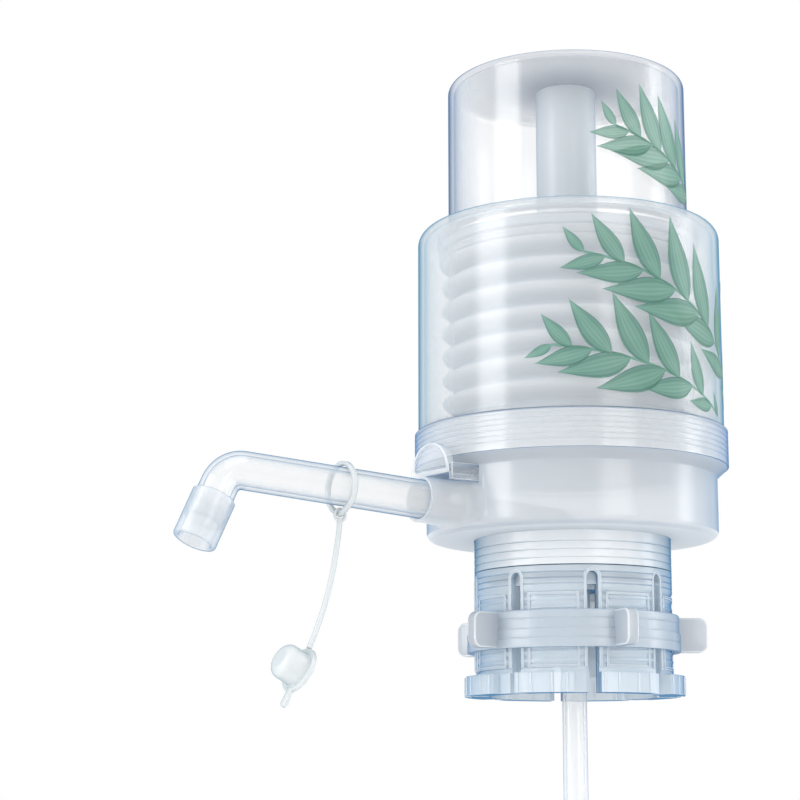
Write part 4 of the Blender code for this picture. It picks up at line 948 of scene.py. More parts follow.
class PUMP_OT_press_cap(bpy.types.Operator):
    """Clear press cap"""
    bl_idname = "pump.press_cap"
    bl_label = "Press cap"

    def execute(self, context):
        size = sizes()
        tones = colours()
        plastic = clear_san("clear_san_cap", tones.cap_clear, tones.cap_edge, 0.08, 0.95, 0.16, 1.5)
        inner = size.cap_r - size.cap_wall
        ceiling = size.cap_top - size.cap_wall
        flange_r, flange_top = 47.5 * MM, 129.5 * MM
        profile = [(0, size.cap_top)]
        profile += arc((size.cap_r - 3.0 * MM, size.cap_top - 3.0 * MM), 3.0 * MM, math.pi / 2, 0, 8)
        profile += [(size.cap_r, flange_top), (flange_r, flange_top), (flange_r, CAP_FOOT), (inner, CAP_FOOT)]
        profile += arc((inner - 1.5 * MM, ceiling - 1.5 * MM), 1.5 * MM, 0, math.pi / 2, 6)
        profile += [(0, ceiling)]
        cap = new_object("press_cap_clear", turned(profile, closed=False), plastic)
        # The ceiling disc, top and underside, gets a darker, hazier copy of the cap's plastic, darker still
        # near the axis: painted shade of the column
        cap.data.materials.append(clear_san(
            "clear_san_cap_ceiling", linear("#E2E8EC"), tones.cap_edge, 0.14, 0.7,
            middle=(tones.cap_ceiling_painted_shade, 12 * MM, 30 * MM, 0.6),
        ))
        for face in cap.data.polygons:
            if face.center.z > ceiling - 0.1 * MM and abs(face.normal.z) > 0.95:
                face.material_index = 1
        finish_piece(cap, "press_cap", "clear_plastic", "press_cap")
        return {"FINISHED"}


class PUMP_OT_inner_parts(bpy.types.Operator):
    """Column, plunger plate, bellows with its rings, valve plate and the CAD pieces that stay"""
    bl_idname = "pump.inner_parts"
    bl_label = "Inner parts"

    def execute(self, context):
        tones = colours()
        milky = frosted_pp("natural_pp_inner", linear("#E9EFF4"), linear("#A3B8CC"), 0.6, 0.95)
        column = turned(eased(rectangle(9.4 * MM, 11 * MM, CAP_FOOT, 185.7 * MM), 0.3 * MM), COLUMN_SIDES)
        add_piece("press_column_tube", column, milky, "press_cap", "frosted_plastic", "press_column")
        self.make_plunger_plate(milky)
        self.make_valve_plate(milky)
        for name, low, body, node in (
            ("bellows_lower_clamp", 49.1, "pump_body", "bellows_lower_ring"),
            ("bellows_upper_clamp", 120.3, "press_cap", "bellows_upper_ring"),
        ):
            outline = eased(rectangle(40.8 * MM, 47.0 * MM, low * MM, (low + 2.0) * MM), 0.4 * MM)
            add_piece(name, turned(outline), milky, body, "frosted_plastic", node)
        self.make_bellows(tones)
        self.make_spring(tones)
        rubber = silicone_rubber("moulded_silicone_inner", tones.silicone, linear("#B7CDD5"))
        seal_rubber = silicone_rubber("white_tpe_seal", linear("#F3F5F6"), linear("#D5DBE0"))
        for name, material in (
            ("intake_valve", rubber), ("check_valve", rubber), ("port_seal", rubber),
            ("neck_seal", seal_rubber), ("riser_elbow", milky),
        ):
            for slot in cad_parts[name].material_slots:
                slot.material = material
        return {"FINISHED"}

    def disc(self, name, radius, low, high, material):
        outline = eased([(0, low), (radius, low), (radius, high), (0, high)], PLATE_EASE, closed=False)
        return new_object(name, turned(outline, closed=False), material)

    def make_plunger_plate(self, material):
        """A disc with the intake valve's hole and four small ones round it."""
        low, high = 124.1 * MM, 127.0 * MM
        valve_x, ring_r = 26.0 * MM, 4.4 * MM
        plate = self.disc("plunger_disc", 47.0 * MM, low, high, material)
        holes = [(valve_x, 0.0, 1.8 * MM)]
        for i in range(4):
            angle = 2 * math.pi * (i + 0.5) / 4
            holes.append((valve_x + ring_r * math.cos(angle), ring_r * math.sin(angle), 1.3 * MM))
        shape = bmesh.new()
        for x, y, r in holes:
            circle = arc((x, y), r, 0, 2 * math.pi, 24)[:-1]
            prism_into(shape, circle, low - OVERRUN, high + OVERRUN, upright)
        carve(plate, "DIFFERENCE", mesh_of(shape))
        finish_piece(plate, "press_cap", "frosted_plastic", "plunger_plate")

    def make_valve_plate(self, material):
        plate = self.disc("valve_plate_disc", 48.0 * MM, 44.5 * MM, 47.3 * MM, material)
        rib = prism(rectangle(-5 * MM, 5 * MM, 34.7 * MM, 46 * MM), -33.65 * MM, -31.65 * MM, along_x)
        carve(plate, "UNION", rib)
        finish_piece(plate, "pump_body", "frosted_plastic", "valve_plate")

    def make_bellows(self, tones):
        """The folds are made at full height on the pump's body. The ends that the clamps hold keep their
        shape, and each rides with its own clamp."""
        size = sizes()
        low = BELLOWS_LOW
        top = BELLOWS_LOW + BELLOWS_HEIGHT
        valley = size.fold_valley_r
        # The fold valleys get a darker, hazier colour by radius, fading out towards the peaks: painted shade
        # in the creases
        soft = frosted_pp(
            "natural_ldpe_bellows", tones.bellows_white, linear("#A9BED2"), 0.85, 1.0, 0.4,
            middle=(linear("#A0B4C7"), valley, size.fold_peak_r - 1.4 * MM, 0.95),
        )
        folds = new_object("bellows_folds", bpy.data.meshes.new("bellows_folds"))
        run_tree(folds, bellows_tree(), soft, {
            "Low": low, "Height": BELLOWS_HEIGHT, "Folds": size.folds,
            "Peak Radius": size.fold_peak_r, "Valley Radius": valley,
            "Sides": SHELL_SIDES + 1, "Rows": size.folds * ROWS_PER_FOLD + 1,
        })
        thicken(folds, BELLOWS_WALL, -1.0)
        for vertex in folds.data.vertices:
            vertex.co.z = min(max(vertex.co.z, low), top)
        finish_piece(folds, "pump_body", "frosted_plastic", "bellows")
        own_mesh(folds)
        inner = valley - 1.2 * MM
        flange, flange_low, flange_top = 45.2 * MM, 47.6 * MM, 48.8 * MM
        lip, lip_top = 42.2 * MM, low + 0.3 * MM
        foot = [
            (inner, flange_low), (flange, flange_low), (flange, flange_top), (valley, flange_top),
            (valley, low), (lip, low), (lip, lip_top), (inner, lip_top),
        ]
        head = [(r, low + top - z) for r, z in foot]
        for name, outline, body in (
            ("bellows_foot", foot, "pump_body"), ("bellows_head", head, "press_cap"),
        ):
            mesh = turned(eased(outline, 0.1 * MM))
            add_piece(name, mesh, soft, body, "frosted_plastic", "bellows")

    def make_spring(self, tones):
        wire = spring_wire("drawn_stainless_wire", tones.steel)
        rings = []
        for i in range(SPRING_STEPS + 1):
            angle = 2 * math.pi * i * SPRING_TURNS / SPRING_STEPS
            spoke = Vector((0, math.cos(angle), math.sin(angle)))
            centre = Vector((SPRING_START + SPRING_RUN * i / SPRING_STEPS, 0, SPRING_Z)) + SPRING_R * spoke
            turns = [2 * math.pi * k / 10 for k in range(10)]
            rings.append([
                centre + SPRING_WIRE_R * (math.cos(turn) * spoke + math.sin(turn) * Vector((1, 0, 0)))
                for turn in turns
            ])
        spring = add_piece(
            "release_spring_coil", loft(rings), wire, "pump_body", "spring_steel", "release_spring"
        )
        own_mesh(spring)


# Housing sleeve and screw ring


# Heights of the sleeve's foot and its step, and of the ring's two ends
SLEEVE_FOOT = 44.5 * MM
SLEEVE_STEP = 57.9 * MM
RING_LOW = 44.28 * MM
RING_TOP = 57.6 * MM
RING_GROOVES = 6


class PUMP_OT_housing(bpy.types.Operator):
    """Clear housing sleeve and the screw ring under it"""
    bl_idname = "pump.housing"
    bl_label = "Housing"

    def execute(self, context):
        size = sizes()
        tones = colours()
        plastic = clear_san("clear_san_housing", tones.sleeve_clear, tones.sleeve_edge, 0.24, 0.95, 0.18, 2.0)
        outer = size.sleeve_r
        top = size.sleeve_top
        inner = outer - size.sleeve_wall
        lip = size.cap_r + 0.5 * MM
        under = top - 2.2 * MM
        neck = outer - 1.7 * MM
        profile = [
            (neck - 2.2 * MM, SLEEVE_FOOT), (neck, SLEEVE_FOOT), (neck, SLEEVE_STEP), (outer, SLEEVE_STEP)
        ]
        profile += arc((outer - 5 * MM, top - 5 * MM), 5 * MM, 0, math.pi / 2, 12)
        profile += [(lip, top), (lip, under)]
        profile += arc((inner - 2.8 * MM, under - 2.8 * MM), 2.8 * MM, math.pi / 2, 0, 8)
        profile += [(inner, 59.6 * MM), (neck - 2.2 * MM, SLEEVE_STEP)]
        shell = turned(eased(profile, 0.25 * MM))
        add_piece("housing_shell", shell, plastic, "pump_body", "clear_plastic", "housing_sleeve")
        self.make_ring(tones)
        return {"FINISHED"}

    def make_ring(self, tones):
        """The ring, with fine grooves outside and the thread that shows through it inside, and painted shade
        on its top face.
        """
        plastic = clear_san("clear_san_ring", tones.sleeve_clear, linear("#5E86B2"), 0.36, 0.9, 0.12)
        # The ring's top face gets a darker, hazier copy of the plastic: painted shade under the sleeve's step
        top_painted_shade = clear_san("clear_san_ring_top_painted_shade", linear("#86A0BE"), linear("#4C6F98"), 0.7, 0.95, 0.12)
        inner = sizes().sleeve_r - 1.4 * MM
        outer = sizes().ring_r
        profile = [(inner, RING_LOW), (outer, RING_LOW)]
        for i in range(RING_GROOVES - 1, -1, -1):
            profile += groove(outer, (56.1 - 1.84 * i) * MM)
        profile += [(outer, 57.0 * MM), (outer - 0.6 * MM, RING_TOP), (inner, RING_TOP)]
        pitch = 11.0 * MM / RING_GROOVES
        for i in range(RING_GROOVES):
            z = 56.6 * MM - pitch * (i + 0.5)
            profile += [(inner, z + 0.45 * MM), (inner + 0.7 * MM, z + 0.15 * MM),
                        (inner + 0.7 * MM, z - 0.15 * MM), (inner, z - 0.45 * MM)]
        ring = new_object("screw_ring_clear", turned(eased(profile, 0.2 * MM)), plastic)
        # Top faces get the painted shade
        ring.data.materials.append(top_painted_shade)
        for face in ring.data.polygons:
            if face.center.z > RING_TOP - 0.15 * MM:
                face.material_index = 1
        finish_piece(ring, "pump_body", "clear_plastic", "screw_ring")


# Base and release slider


FLOOR_HOLE_R = 7.9 * MM
SKIRT_TOP = 19 * MM
DRUM_LOW = 22 * MM
PORT_BORE_R = 6.95 * MM
BORE_START_S = 46.1 * MM
BOSS_R = 7.9 * MM
BOSS_FLARE = 8.6 * MM
BOSS_STEPS = 18
SLIDER_BACK = -45.25 * MM
THUMB_FACE = -62.7 * MM


def slider_outline(grow):
    half = 11.5 * MM + grow
    rail = 9.6 * MM - grow
    low = 35.0 * MM - grow
    floor = 37.2 * MM - grow
    top = 40.6 * MM + grow
    return [
        (-half, low), (-rail, low), (-rail, floor), (rail, floor), (rail, low), (half, low), (half, top),
        (-half, top),
    ]


class PUMP_OT_base(bpy.types.Operator):
    """Milky base with its outlet port, and the release slider above the port"""
    bl_idname = "pump.base"
    bl_label = "Base"

    def execute(self, context):
        size = sizes()
        tones = colours()
        milky = frosted_pp("natural_pp_base", tones.milky, linear("#9CB5CE"), 0.5, 0.95, 0.2)
        radius = size.base_r
        collar = size.collar_r
        wall = radius - 2.4 * MM
        profile = [(FLOOR_HOLE_R, SKIRT_TOP), *in_mm((29.5, 19), (29.5, 5.3), (32, 5.3), (32, 7.3))]
        profile.append((collar, 7.3 * MM))
        for z in (9.8, 12.6, 15.4):
            profile += groove(collar, z * MM)
        profile.append((collar, SKIRT_TOP))
        profile += arc((radius - 3 * MM, DRUM_LOW), 3 * MM, -math.pi / 2, 0, 8)
        profile += [(radius, 40.7 * MM), *in_mm(
            (55.6, 44.2), (50.5, 44.2), (50.5, 48.0), (48.3, 48.0), (48.3, 44.2), (45.45, 44.2), (45.45, 41.9)
        )]
        profile += [(wall, 41.9 * MM), (wall, 20.5 * MM), (FLOOR_HOLE_R, 20.5 * MM)]
        base = new_object("base_drum", turned(eased(profile, 0.35 * MM)), milky)
        carve(base, "UNION", self.fairing())
        bore = arc((0, 0), PORT_BORE_R, 0, 2 * math.pi, TUBE_SIDES)[:-1]
        carve(base, "DIFFERENCE", prism(bore, BORE_START_S, PORT_FACE_S + OVERRUN, along_port))
        pocket = prism(slider_outline(0.3 * MM), -PORT_REACH - OVERRUN, -43.45 * MM, along_x)
        carve(base, "DIFFERENCE", pocket)
        # Lighter copies of the base's plastic, painted light against the shade on the skirt under the drum,
        # in the port's bore and on the underside; the port's mouth gets the painted edge highlight
        for material in (
            frosted_pp("natural_pp_skirt_painted_light", linear("#F6FAFD"), linear("#5686A8"), 0.85, 0.97, 0.22, 0.8, 0.1),
            frosted_pp("natural_pp_bore_painted_light", linear("#F6F8FA"), linear("#C4D3E0"), 0.12, 0.6, 0.2),
            frosted_pp("natural_pp_underside_painted_light", tones.milky, linear("#EDF1F5"), 0.5, 0.95, 0.2),
            painted_edge_highlight(),
        ):
            base.data.materials.append(material)
        for face in base.data.polygons:
            face.material_index = self.zone(face, collar)
        finish_piece(base, "pump_body", "milky_plastic", "base_body")
        self.make_slider(tones)
        return {"FINISHED"}

    def zone(self, face, collar):
        """Which material a face has: drum 0, skirt 1, port's bore 2, underside 3, port's mouth 4. Skirt, bore
        and underside have lighter copies painted against their shade; the mouth has the painted edge
        highlight.
        """
        centre = face.center
        from_port = (centre - port_point(PORT_FACE_S)).cross(PORT_OUT).length
        outwards = face.normal.dot(PORT_OUT)
        if centre.z < SKIRT_TOP - 0.05 * MM and centre.xy.length < collar + 0.1 * MM:
            return 1
        if centre.x < -47 * MM and from_port < 7.0 * MM and abs(outwards) < 0.5:
            return 2
        if centre.z < DRUM_LOW and centre.xy.length > collar and face.normal.z < -0.4:
            return 3
        if centre.x < -47 * MM and from_port < 8 * MM and outwards > 0.95:
            return 4
        return 0

    def fairing(self):
        """The port's boss, round at its face and flared and squarer where it meets the drum."""
        inner_s = 48.1 * MM / math.cos(PORT_TILT)
        rings = []
        for i in range(BOSS_STEPS + 1):
            share = i / BOSS_STEPS
            flare = share ** 2.6
            half_w = BOSS_R + BOSS_FLARE * flare
            power = 1 / (1 + flare)
            ring = []
            for k in range(TUBE_SIDES):
                angle = 2 * math.pi * k / TUBE_SIDES
                u = math.copysign(abs(math.cos(angle)) ** power, math.cos(angle)) * half_w
                v = math.copysign(abs(math.sin(angle)) ** power, math.sin(angle)) * BOSS_R
                ring.append(along_port(u, v, PORT_FACE_S + (inner_s - PORT_FACE_S) * share))
            rings.append(ring)
        return loft(rings)

    def make_slider(self, tones):
        """A channel with a shoulder behind and a half-round thumb plate, dished, in front."""
        plastic = clear_san("clear_san_slider", tones.sleeve_clear, linear("#8FA9C6"), 0.16, 0.7)
        channel = prism(slider_outline(0), -61.4 * MM, SLIDER_BACK, along_x)
        slider = new_object("release_slider_channel", channel, plastic)
        shoulder = rectangle(-13.5 * MM, 13.5 * MM, 35.3 * MM, 40.3 * MM)
        carve(slider, "UNION", prism(shoulder, -47.25 * MM, -45.55 * MM, along_x))
        plate = arc((0, 37.2 * MM), 11.2 * MM, 0, math.pi, 48)
        carve(slider, "UNION", prism(plate, THUMB_FACE, -60.1 * MM, along_x))
        dish = arc((0, 38.2 * MM), 9.6 * MM, 0.06, math.pi - 0.06, 40)
        carve(slider, "DIFFERENCE", prism(dish, THUMB_FACE - OVERRUN, -62.2 * MM, along_x))
        soften(slider, 0.3 * MM, 2, painted_edge_highlight())
        # The thumb plate's front face also gets the painted highlight material
        for face in slider.data.polygons:
            if face.center.x < THUMB_FACE + 0.2 * MM and face.normal.x < -0.9:
                face.material_index = len(slider.data.materials) - 1
        finish_piece(slider, "release_slider", "clear_plastic", "release_slider")


# Collar and clamp nut


COLLAR_LOW = -36.0 * MM
TAB_TOP = -29.2 * MM
TAB_R = 38.65 * MM
TAB_GAP = (-11.0 * DEG, 1.0 * DEG)
TAB_RIBS = (4.5, 12.0, 23.0, 30.5)
CUT_R = 40.65 * MM
SLOT_FIRST = 16.2 * DEG
SLOT_HALF = 1.65 * MM
CROWN_HALF = 1.8 * MM
CROWN_Z = 3.0 * MM
THREAD_PITCH = 3.0 * MM
THREAD_DEPTH = 0.85 * MM
THREAD_ROWS = 40
PANEL_LOW = -27.5 * MM
PANEL_HIGH = -2.0 * MM
PANEL_HALF = 15 * DEG
PANEL_BAR = 1.0 * MM
LAP = 0.3 * MM


class PUMP_OT_collar(bpy.types.Operator):
    """Collar with its spring fingers, panels and tabs"""
    bl_idname = "pump.collar"
    bl_label = "Collar"

    def execute(self, context):
        size = sizes()
        outer = size.collar_r
        plastic = clear_san(
            "clear_pp_collar", colours().collar_blue, linear("#4F80A8"), 0.52, 0.95, 0.22, 1.1
        )
        profile = [*in_mm((6.3, 2.3), (30, 2.3)), (30 * MM, COLLAR_LOW), (TAB_R, COLLAR_LOW)]
        profile += [(TAB_R, TAB_TOP), (outer, TAB_TOP)]
        for i in range(THREAD_ROWS + 1):
            profile.append((outer, TAB_TOP + 0.8 * MM + i * (28.0 * MM / THREAD_ROWS)))
        for z in (0.8, 2.8, 4.8):
            profile += groove(outer, z * MM)
        profile += [(outer, 7 * MM), *in_mm((32.35, 7), (32.35, 5), (6.3, 5))]
        collar = new_object("collet_fingers", turned(profile), plastic)
        self.cut_thread(collar.data, outer)
        self.cut_slots(collar, size.fingers)
        finish_piece(collar, "pump_body", "clear_plastic", "collet_collar")
        self.make_details(plastic, size.fingers, outer)
        return {"FINISHED"}

    def cut_thread(self, mesh, outer):
        for vertex in mesh.vertices:
            x, y, z = vertex.co
            r = math.hypot(x, y)
            if abs(r - outer) < 0.01 * MM and TAB_TOP + 1.0 * MM < z < -1.0 * MM:
                turn = (z - THREAD_PITCH * math.atan2(y, x) / (2 * math.pi)) / THREAD_PITCH
                dip = 0.5 - 0.5 * math.cos(2 * math.pi * turn)
                new_r = outer - THREAD_DEPTH * dip
                vertex.co = (x * new_r / r, y * new_r / r, z)

    def cut_slots(self, collar, fingers):
        """Slots between the fingers, their round ends, and the gaps between the tabs."""
        slots, crowns, gaps = bmesh.new(), bmesh.new(), bmesh.new()
        slot = rectangle(-SLOT_HALF, SLOT_HALF, -38 * MM, 0.5 * MM)
        crown = arc((0, CROWN_Z), CROWN_HALF, 0, math.pi, 16)
        crown += [(-CROWN_HALF, -40 * MM), (CROWN_HALF, -40 * MM)]
        for i in range(fingers):
            angle = SLOT_FIRST + 2 * math.pi * i / fingers
            prism_into(slots, slot, 28 * MM, CUT_R, radial(angle))
            prism_into(crowns, crown, 32.45 * MM, CUT_R, radial(angle))
            start, end = (angle + turn for turn in TAB_GAP)
            wedge = arc((0, 0), 36.05 * MM, start, end, 8) + arc((0, 0), CUT_R, end, start, 8)
            prism_into(gaps, wedge, -38 * MM, TAB_TOP + OVERRUN, upright)
        for shape in (slots, crowns, gaps):
            carve(collar, "DIFFERENCE", mesh_of(shape))

    def make_details(self, plastic, fingers, outer):
        """A framed panel on each finger, a raised rim round each slot, and fine ribs on the tabs."""
        inside = outer - THREAD_DEPTH - 0.1 * MM
        low, high, half = PANEL_LOW, PANEL_HIGH, PANEL_HALF
        side = PANEL_BAR / outer
        turn = half - side + LAP / outer
        shape = bmesh.new()
        curved_block(shape, -half, side - half, low, high, inside, outer, 2)
        curved_block(shape, half - side, half, low, high, inside, outer, 2)
        for z in (low, high - PANEL_BAR):
            curved_block(shape, -turn, turn, z, z + PANEL_BAR, inside + 0.05 * MM, outer - 0.05 * MM)
        plate_low, plate_high = low + PANEL_BAR - LAP, high - PANEL_BAR + LAP
        curved_block(shape, -turn, turn, plate_low, plate_high, inside + 0.1 * MM, outer - 0.45 * MM)
        between = SLOT_FIRST + math.pi / fingers
        self.spread("collet_panels", mesh_of(shape), plastic, fingers, between)

        rim_in, rim_out = 2.0 * MM, 3.1 * MM
        rim = [(rim_in, low), *arc((0, CROWN_Z), rim_in, 0, math.pi, 16), (-rim_in, low)]
        rim += [(-rim_out, low), *arc((0, CROWN_Z), rim_out, math.pi, 0, 16), (rim_out, low)]
        rims = prism(rim, inside, outer + 0.12 * MM, along_x)
        self.spread("collet_slot_rims", rims, plastic, fingers, SLOT_FIRST)

        shape = bmesh.new()
        rib = rectangle(-0.35 * MM, 0.35 * MM, COLLAR_LOW + 0.3 * MM, TAB_TOP - 0.3 * MM)
        for turn in TAB_RIBS:
            prism_into(shape, rib, TAB_R - 0.25 * MM, TAB_R + 0.35 * MM, radial(turn * DEG))
        self.spread("collet_tab_ribs", mesh_of(shape), plastic, fingers, SLOT_FIRST)

    def spread(self, name, mesh, plastic, count, first):
        piece = new_object(name, mesh, plastic)
        run_tree(piece, ring_of_copies_tree(), plastic, {"Count": count, "First Angle": first})
        soften(piece, 0.2 * MM, 2, painted_edge_highlight())
        finish_piece(piece, "pump_body", "clear_plastic")


LUG_FIRST = 39.2 * DEG
LUG_R = 44.3 * MM
LUG_ROUND = 3 * MM


class PUMP_OT_clamp_nut(bpy.types.Operator):
    """Clamp nut with its finger lugs"""
    bl_idname = "pump.clamp_nut"
    bl_label = "Clamp nut"

    def execute(self, context):
        size = sizes()
        milky = frosted_pp("natural_pp_nut", colours().nut_white, linear("#8FA8C3"), 0.5, 0.95, 0.22)
        inner = size.collar_r + 0.3 * MM
        radius = inner + 2 * MM
        foot = radius + 0.4 * MM
        profile = [
            (inner, -20.8 * MM), (foot, -20.8 * MM), *groove(foot, -17.6 * MM), (foot, -14.6 * MM),
            (radius, -14.2 * MM), *groove(radius, -11.0 * MM), (radius, -8.5 * MM),
            (radius - 0.5 * MM, -8.0 * MM), (inner, -8.0 * MM),
        ]
        ring = turned(eased(profile, 0.25 * MM))
        add_piece("clamp_nut_ring", ring, milky, "clamp_nut", "nut_plastic", "clamp_nut")
        root = radius - 0.6 * MM
        outline = [(root, -20.5 * MM)]
        outline += arc((LUG_R, -17.5 * MM), LUG_ROUND, -math.pi / 2, 0, 8)
        outline += arc((LUG_R, -11.3 * MM), LUG_ROUND, 0, math.pi / 2, 8)
        outline.append((root, -8.3 * MM))
        mesh = prism(outline, -2 * MM, 2 * MM, lambda u, v, w: Vector((u, w, v)))
        grey = frosted_pp("natural_pp_lugs", linear("#CFD4DA"), linear("#A5B2C0"), 0.8, 0.95, 0.22)
        lugs = new_object("clamp_nut_lugs", mesh, grey)
        run_tree(lugs, ring_of_copies_tree(), grey, {"Count": size.lugs, "First Angle": LUG_FIRST})
        soften(lugs, 0.5 * MM, 3, painted_edge_highlight())
        finish_piece(lugs, "clamp_nut", "nut_plastic")
        return {"FINISHED"}


# Spout and dip tube


SPOUT_START_S = 52.1 * MM
ELBOW_S = 142.4 * MM
ELBOW_R = 9.5 * MM
SPOUT_END_R = 6.2 * MM
SPOUT_WALL = 1.35 * MM
DIP_BORE_R = 3.3 * MM
DIP_R = 4.3 * MM
COUPLER_BORE_R = 4.6 * MM


class PUMP_OT_spout(bpy.types.Operator):
    """Clear spout with its elbow, and the nozzle sleeve"""
    bl_idname = "pump.spout"
    bl_label = "Spout"

    def execute(self, context):
        plastic = clear_san("clear_san_spout", linear("#EDF1F4"), linear("#4C7DA3"), 0.12, 0.95, 0.12, 1.4)
        corner = port_point(ELBOW_S)
        bend = bend_stations(corner, PORT_OUT, LEG, ELBOW_R, 24)
        start_r = sizes().spout_r
        start = port_point(SPOUT_START_S)
        outer = [(start, PORT_OUT, start_r - 0.3 * MM), (port_point(52.4 * MM), PORT_OUT, start_r)]
        outer.append((port_point(PORT_FACE_S), PORT_OUT, start_r))
        for i, (place, direction) in enumerate(bend):
            share = 0.8 + 0.2 * i / (len(bend) - 1)
            outer.append((place, direction, start_r - (start_r - SPOUT_END_R) * share))
        outer.append((corner + 19.2 * MM * LEG, LEG, SPOUT_END_R))
        inner = [(place, direction, radius - SPOUT_WALL) for place, direction, radius in outer[1:]]
        inner.insert(0, (start, PORT_OUT, start_r - SPOUT_WALL))
        tube = tube_between(outer + inner[::-1])
        add_piece("spout_elbow_tube", tube, plastic, "spout", "clear_plastic", "spout_tube")

        milky = frosted_pp("natural_pp_nozzle", linear("#EEF2F5"), linear("#6C93B4"), 0.5, 0.95, 0.22)
        stations = [
            (corner + along * LEG, LEG, radius) for along, radius in in_mm(
                (10.5, 6.5), (10.5, 6.95), (10.8, 7.2), (26.3, 7.2), (26.75, 6.95), (26.9, 6.6),
                (26.9, 5.7), (26.7, 5.5), (19.5, 5.5), (19.5, 6.5),
            )
        ]
        nozzle = tube_between(stations)
        add_piece("spout_nozzle_sleeve", nozzle, milky, "spout", "frosted_plastic", "spout_nozzle")
        return {"FINISHED"}


class PUMP_OT_dip_tube(bpy.types.Operator):
    """Dip tube in two lengths with the coupler between them"""
    bl_idname = "pump.dip_tube"
    bl_label = "Dip tube"

    def execute(self, context):
        tones = colours()
        clear = clear_san("clear_pe_tube", tones.sleeve_clear, linear("#86A0BB"), 0.2, 0.85, 0.12)
        milky = frosted_pp("natural_pp_coupler", tones.bellows_white, linear("#AEBECD"), 0.6, 0.95)
        for name, node in (
            ("dip_tube_top_length", "dip_tube_upper"), ("dip_tube_foot_length", "dip_tube_lower"),
        ):
            low, high = (corner[2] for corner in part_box(node))
            wall = eased(rectangle(DIP_BORE_R, DIP_R, low, high), 0.2 * MM)
            tube = new_object(name, turned(wall, TUBE_SIDES), clear)
            if node == "dip_tube_lower":
                self.notch_foot(tube, low)
            finish_piece(tube, "pump_body", "clear_plastic", node)
        low, high = (corner[2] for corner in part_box("dip_tube_coupler"))
        stop_low, stop_high = (low + high) / 2 - 0.8 * MM, (low + high) / 2 + 0.8 * MM
        profile = [
            (COUPLER_BORE_R, low), (6.0 * MM, low), (6.0 * MM, high), (COUPLER_BORE_R, high),
            (COUPLER_BORE_R, stop_high), (DIP_BORE_R, stop_high), (DIP_BORE_R, stop_low),
            (COUPLER_BORE_R, stop_low),
        ]
        coupler = turned(eased(profile, 0.3 * MM), TUBE_SIDES)
        add_piece("dip_coupler_sleeve", coupler, milky, "pump_body", "frosted_plastic", "dip_tube_coupler")
        return {"FINISHED"}

    def notch_foot(self, tube, low):
        """Two slits across the foot, so that it draws when it stands on the floor."""
        under, over = low - OVERRUN, low + 4 * MM
        notch = [(-2.4 * MM, under), (2.4 * MM, under), (1.2 * MM, over), (-1.2 * MM, over)]
        shape = bmesh.new()
        for turn in (0, math.pi / 2):
            prism_into(shape, notch, -6.3 * MM, 6.3 * MM, radial(turn))
        carve(tube, "DIFFERENCE", mesh_of(shape))


# Leaf print


# Name, printed piece's radius, stem through (degrees, mm) points, blades, their length and
# width in mm, body, seed
SPRAYS = (
    ("housing_leaf_spray", "sleeve_r", ((324, 60), (307, 84), (280, 103), (236, 111)), 15, 30, 10.0,
     "pump_body", 3),
    ("housing_leaf_spray_low", "sleeve_r", ((300, 60), (285, 67), (262, 75), (224, 79)), 12, 27, 9.2,
     "pump_body", 8),
    ("housing_leaf_spray_back", "sleeve_r", ((358, 64), (350, 86), (338, 102), (326, 112)), 11, 26, 9.0,
     "pump_body", 11),
    ("cap_leaf_spray", "cap_r", ((330, 136), (308, 145), (284, 154), (254, 160)), 13, 27, 9.2,
     "press_cap", 5),
)
PRINT_GAP = 0.04 * MM
INK_FILM = 0.008 * MM


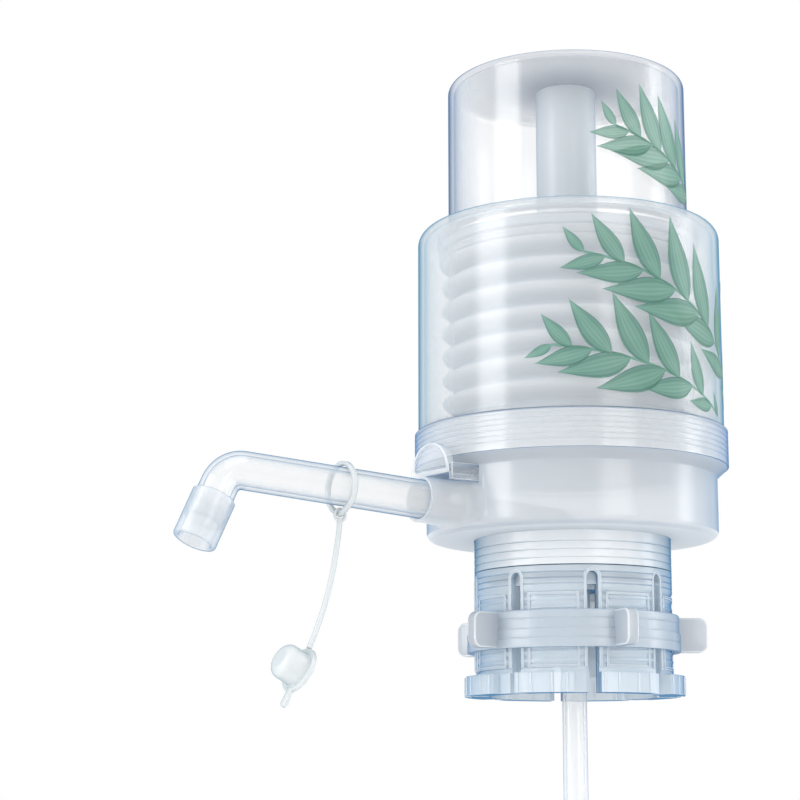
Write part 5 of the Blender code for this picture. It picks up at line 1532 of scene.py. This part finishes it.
class PUMP_OT_leaf_print(bpy.types.Operator):
    """Green leaf sprays printed on the housing and on the cap"""
    bl_idname = "pump.leaf_print"
    bl_label = "Leaf print"

    def execute(self, context):
        tones = colours()
        ink = leaf_ink("screen_printed_leaf_ink", tones.leaf_light, tones.leaf_dark)
        tree = leaf_spray_tree()
        for name, radius, stem, blades, blade_length, blade_width, body, seed in SPRAYS:
            print_r = getattr(sizes(), radius) + PRINT_GAP
            curve = new_curve(name, "NURBS", [(turn * DEG * print_r, 0, z * MM) for turn, z in stem])
            curve.splines[0].order_u = 4
            curve.splines[0].use_endpoint_u = True
            drawn = new_object(name, curve)
            put_tree(drawn, tree, {
                "Blades": blades, "Blade Length": blade_length * MM, "Blade Width": blade_width * MM,
                "Spread": 0.62, "Radius": print_r, "Stem Width": 1.0 * MM, "Seed": seed, "Material": ink,
            })
            mesh = evaluated_mesh(drawn)
            bpy.data.objects.remove(drawn, do_unlink=True)
            spray = new_object(name, mesh, ink)
            thicken(spray, INK_FILM, 1.0)
            finish_piece(spray, body, "clear_plastic")
        return {"FINISHED"}


# Panel, and the run


OPERATORS = (
    PUMP_OT_stage,
    PUMP_OT_dust_plug,
    PUMP_OT_press_cap,
    PUMP_OT_inner_parts,
    PUMP_OT_housing,
    PUMP_OT_base,
    PUMP_OT_collar,
    PUMP_OT_clamp_nut,
    PUMP_OT_spout,
    PUMP_OT_dip_tube,
    PUMP_OT_leaf_print,
)


class PUMP_PT_pieces(bpy.types.Panel):
    """Lists the pump's sizes, colours and pieces"""
    bl_label = "Bottle hand pump"
    bl_idname = "PUMP_PT_pieces"
    bl_space_type = "VIEW_3D"
    bl_region_type = "UI"
    bl_category = "Pump"

    def draw(self, context):
        column = self.layout.column()
        for group in (context.scene.pump_sizes, context.scene.pump_colours):
            for name in group.__annotations__:
                column.prop(group, name)
        for operator in OPERATORS:
            column.operator(operator.bl_idname)


def register():
    for group in (PumpSizes, PumpColours, *OPERATORS, PUMP_PT_pieces):
        bpy.utils.register_class(group)
    bpy.types.Scene.pump_sizes = bpy.props.PointerProperty(type=PumpSizes)
    bpy.types.Scene.pump_colours = bpy.props.PointerProperty(type=PumpColours)


def unregister():
    del bpy.types.Scene.pump_colours
    del bpy.types.Scene.pump_sizes
    for group in reversed((PumpSizes, PumpColours, *OPERATORS, PUMP_PT_pieces)):
        bpy.utils.unregister_class(group)


def main():
    register()
    for operator in OPERATORS:
        name = operator.bl_idname.split(".")[1]
        getattr(bpy.ops.pump, name)()


if __name__ == "__main__":
    main()
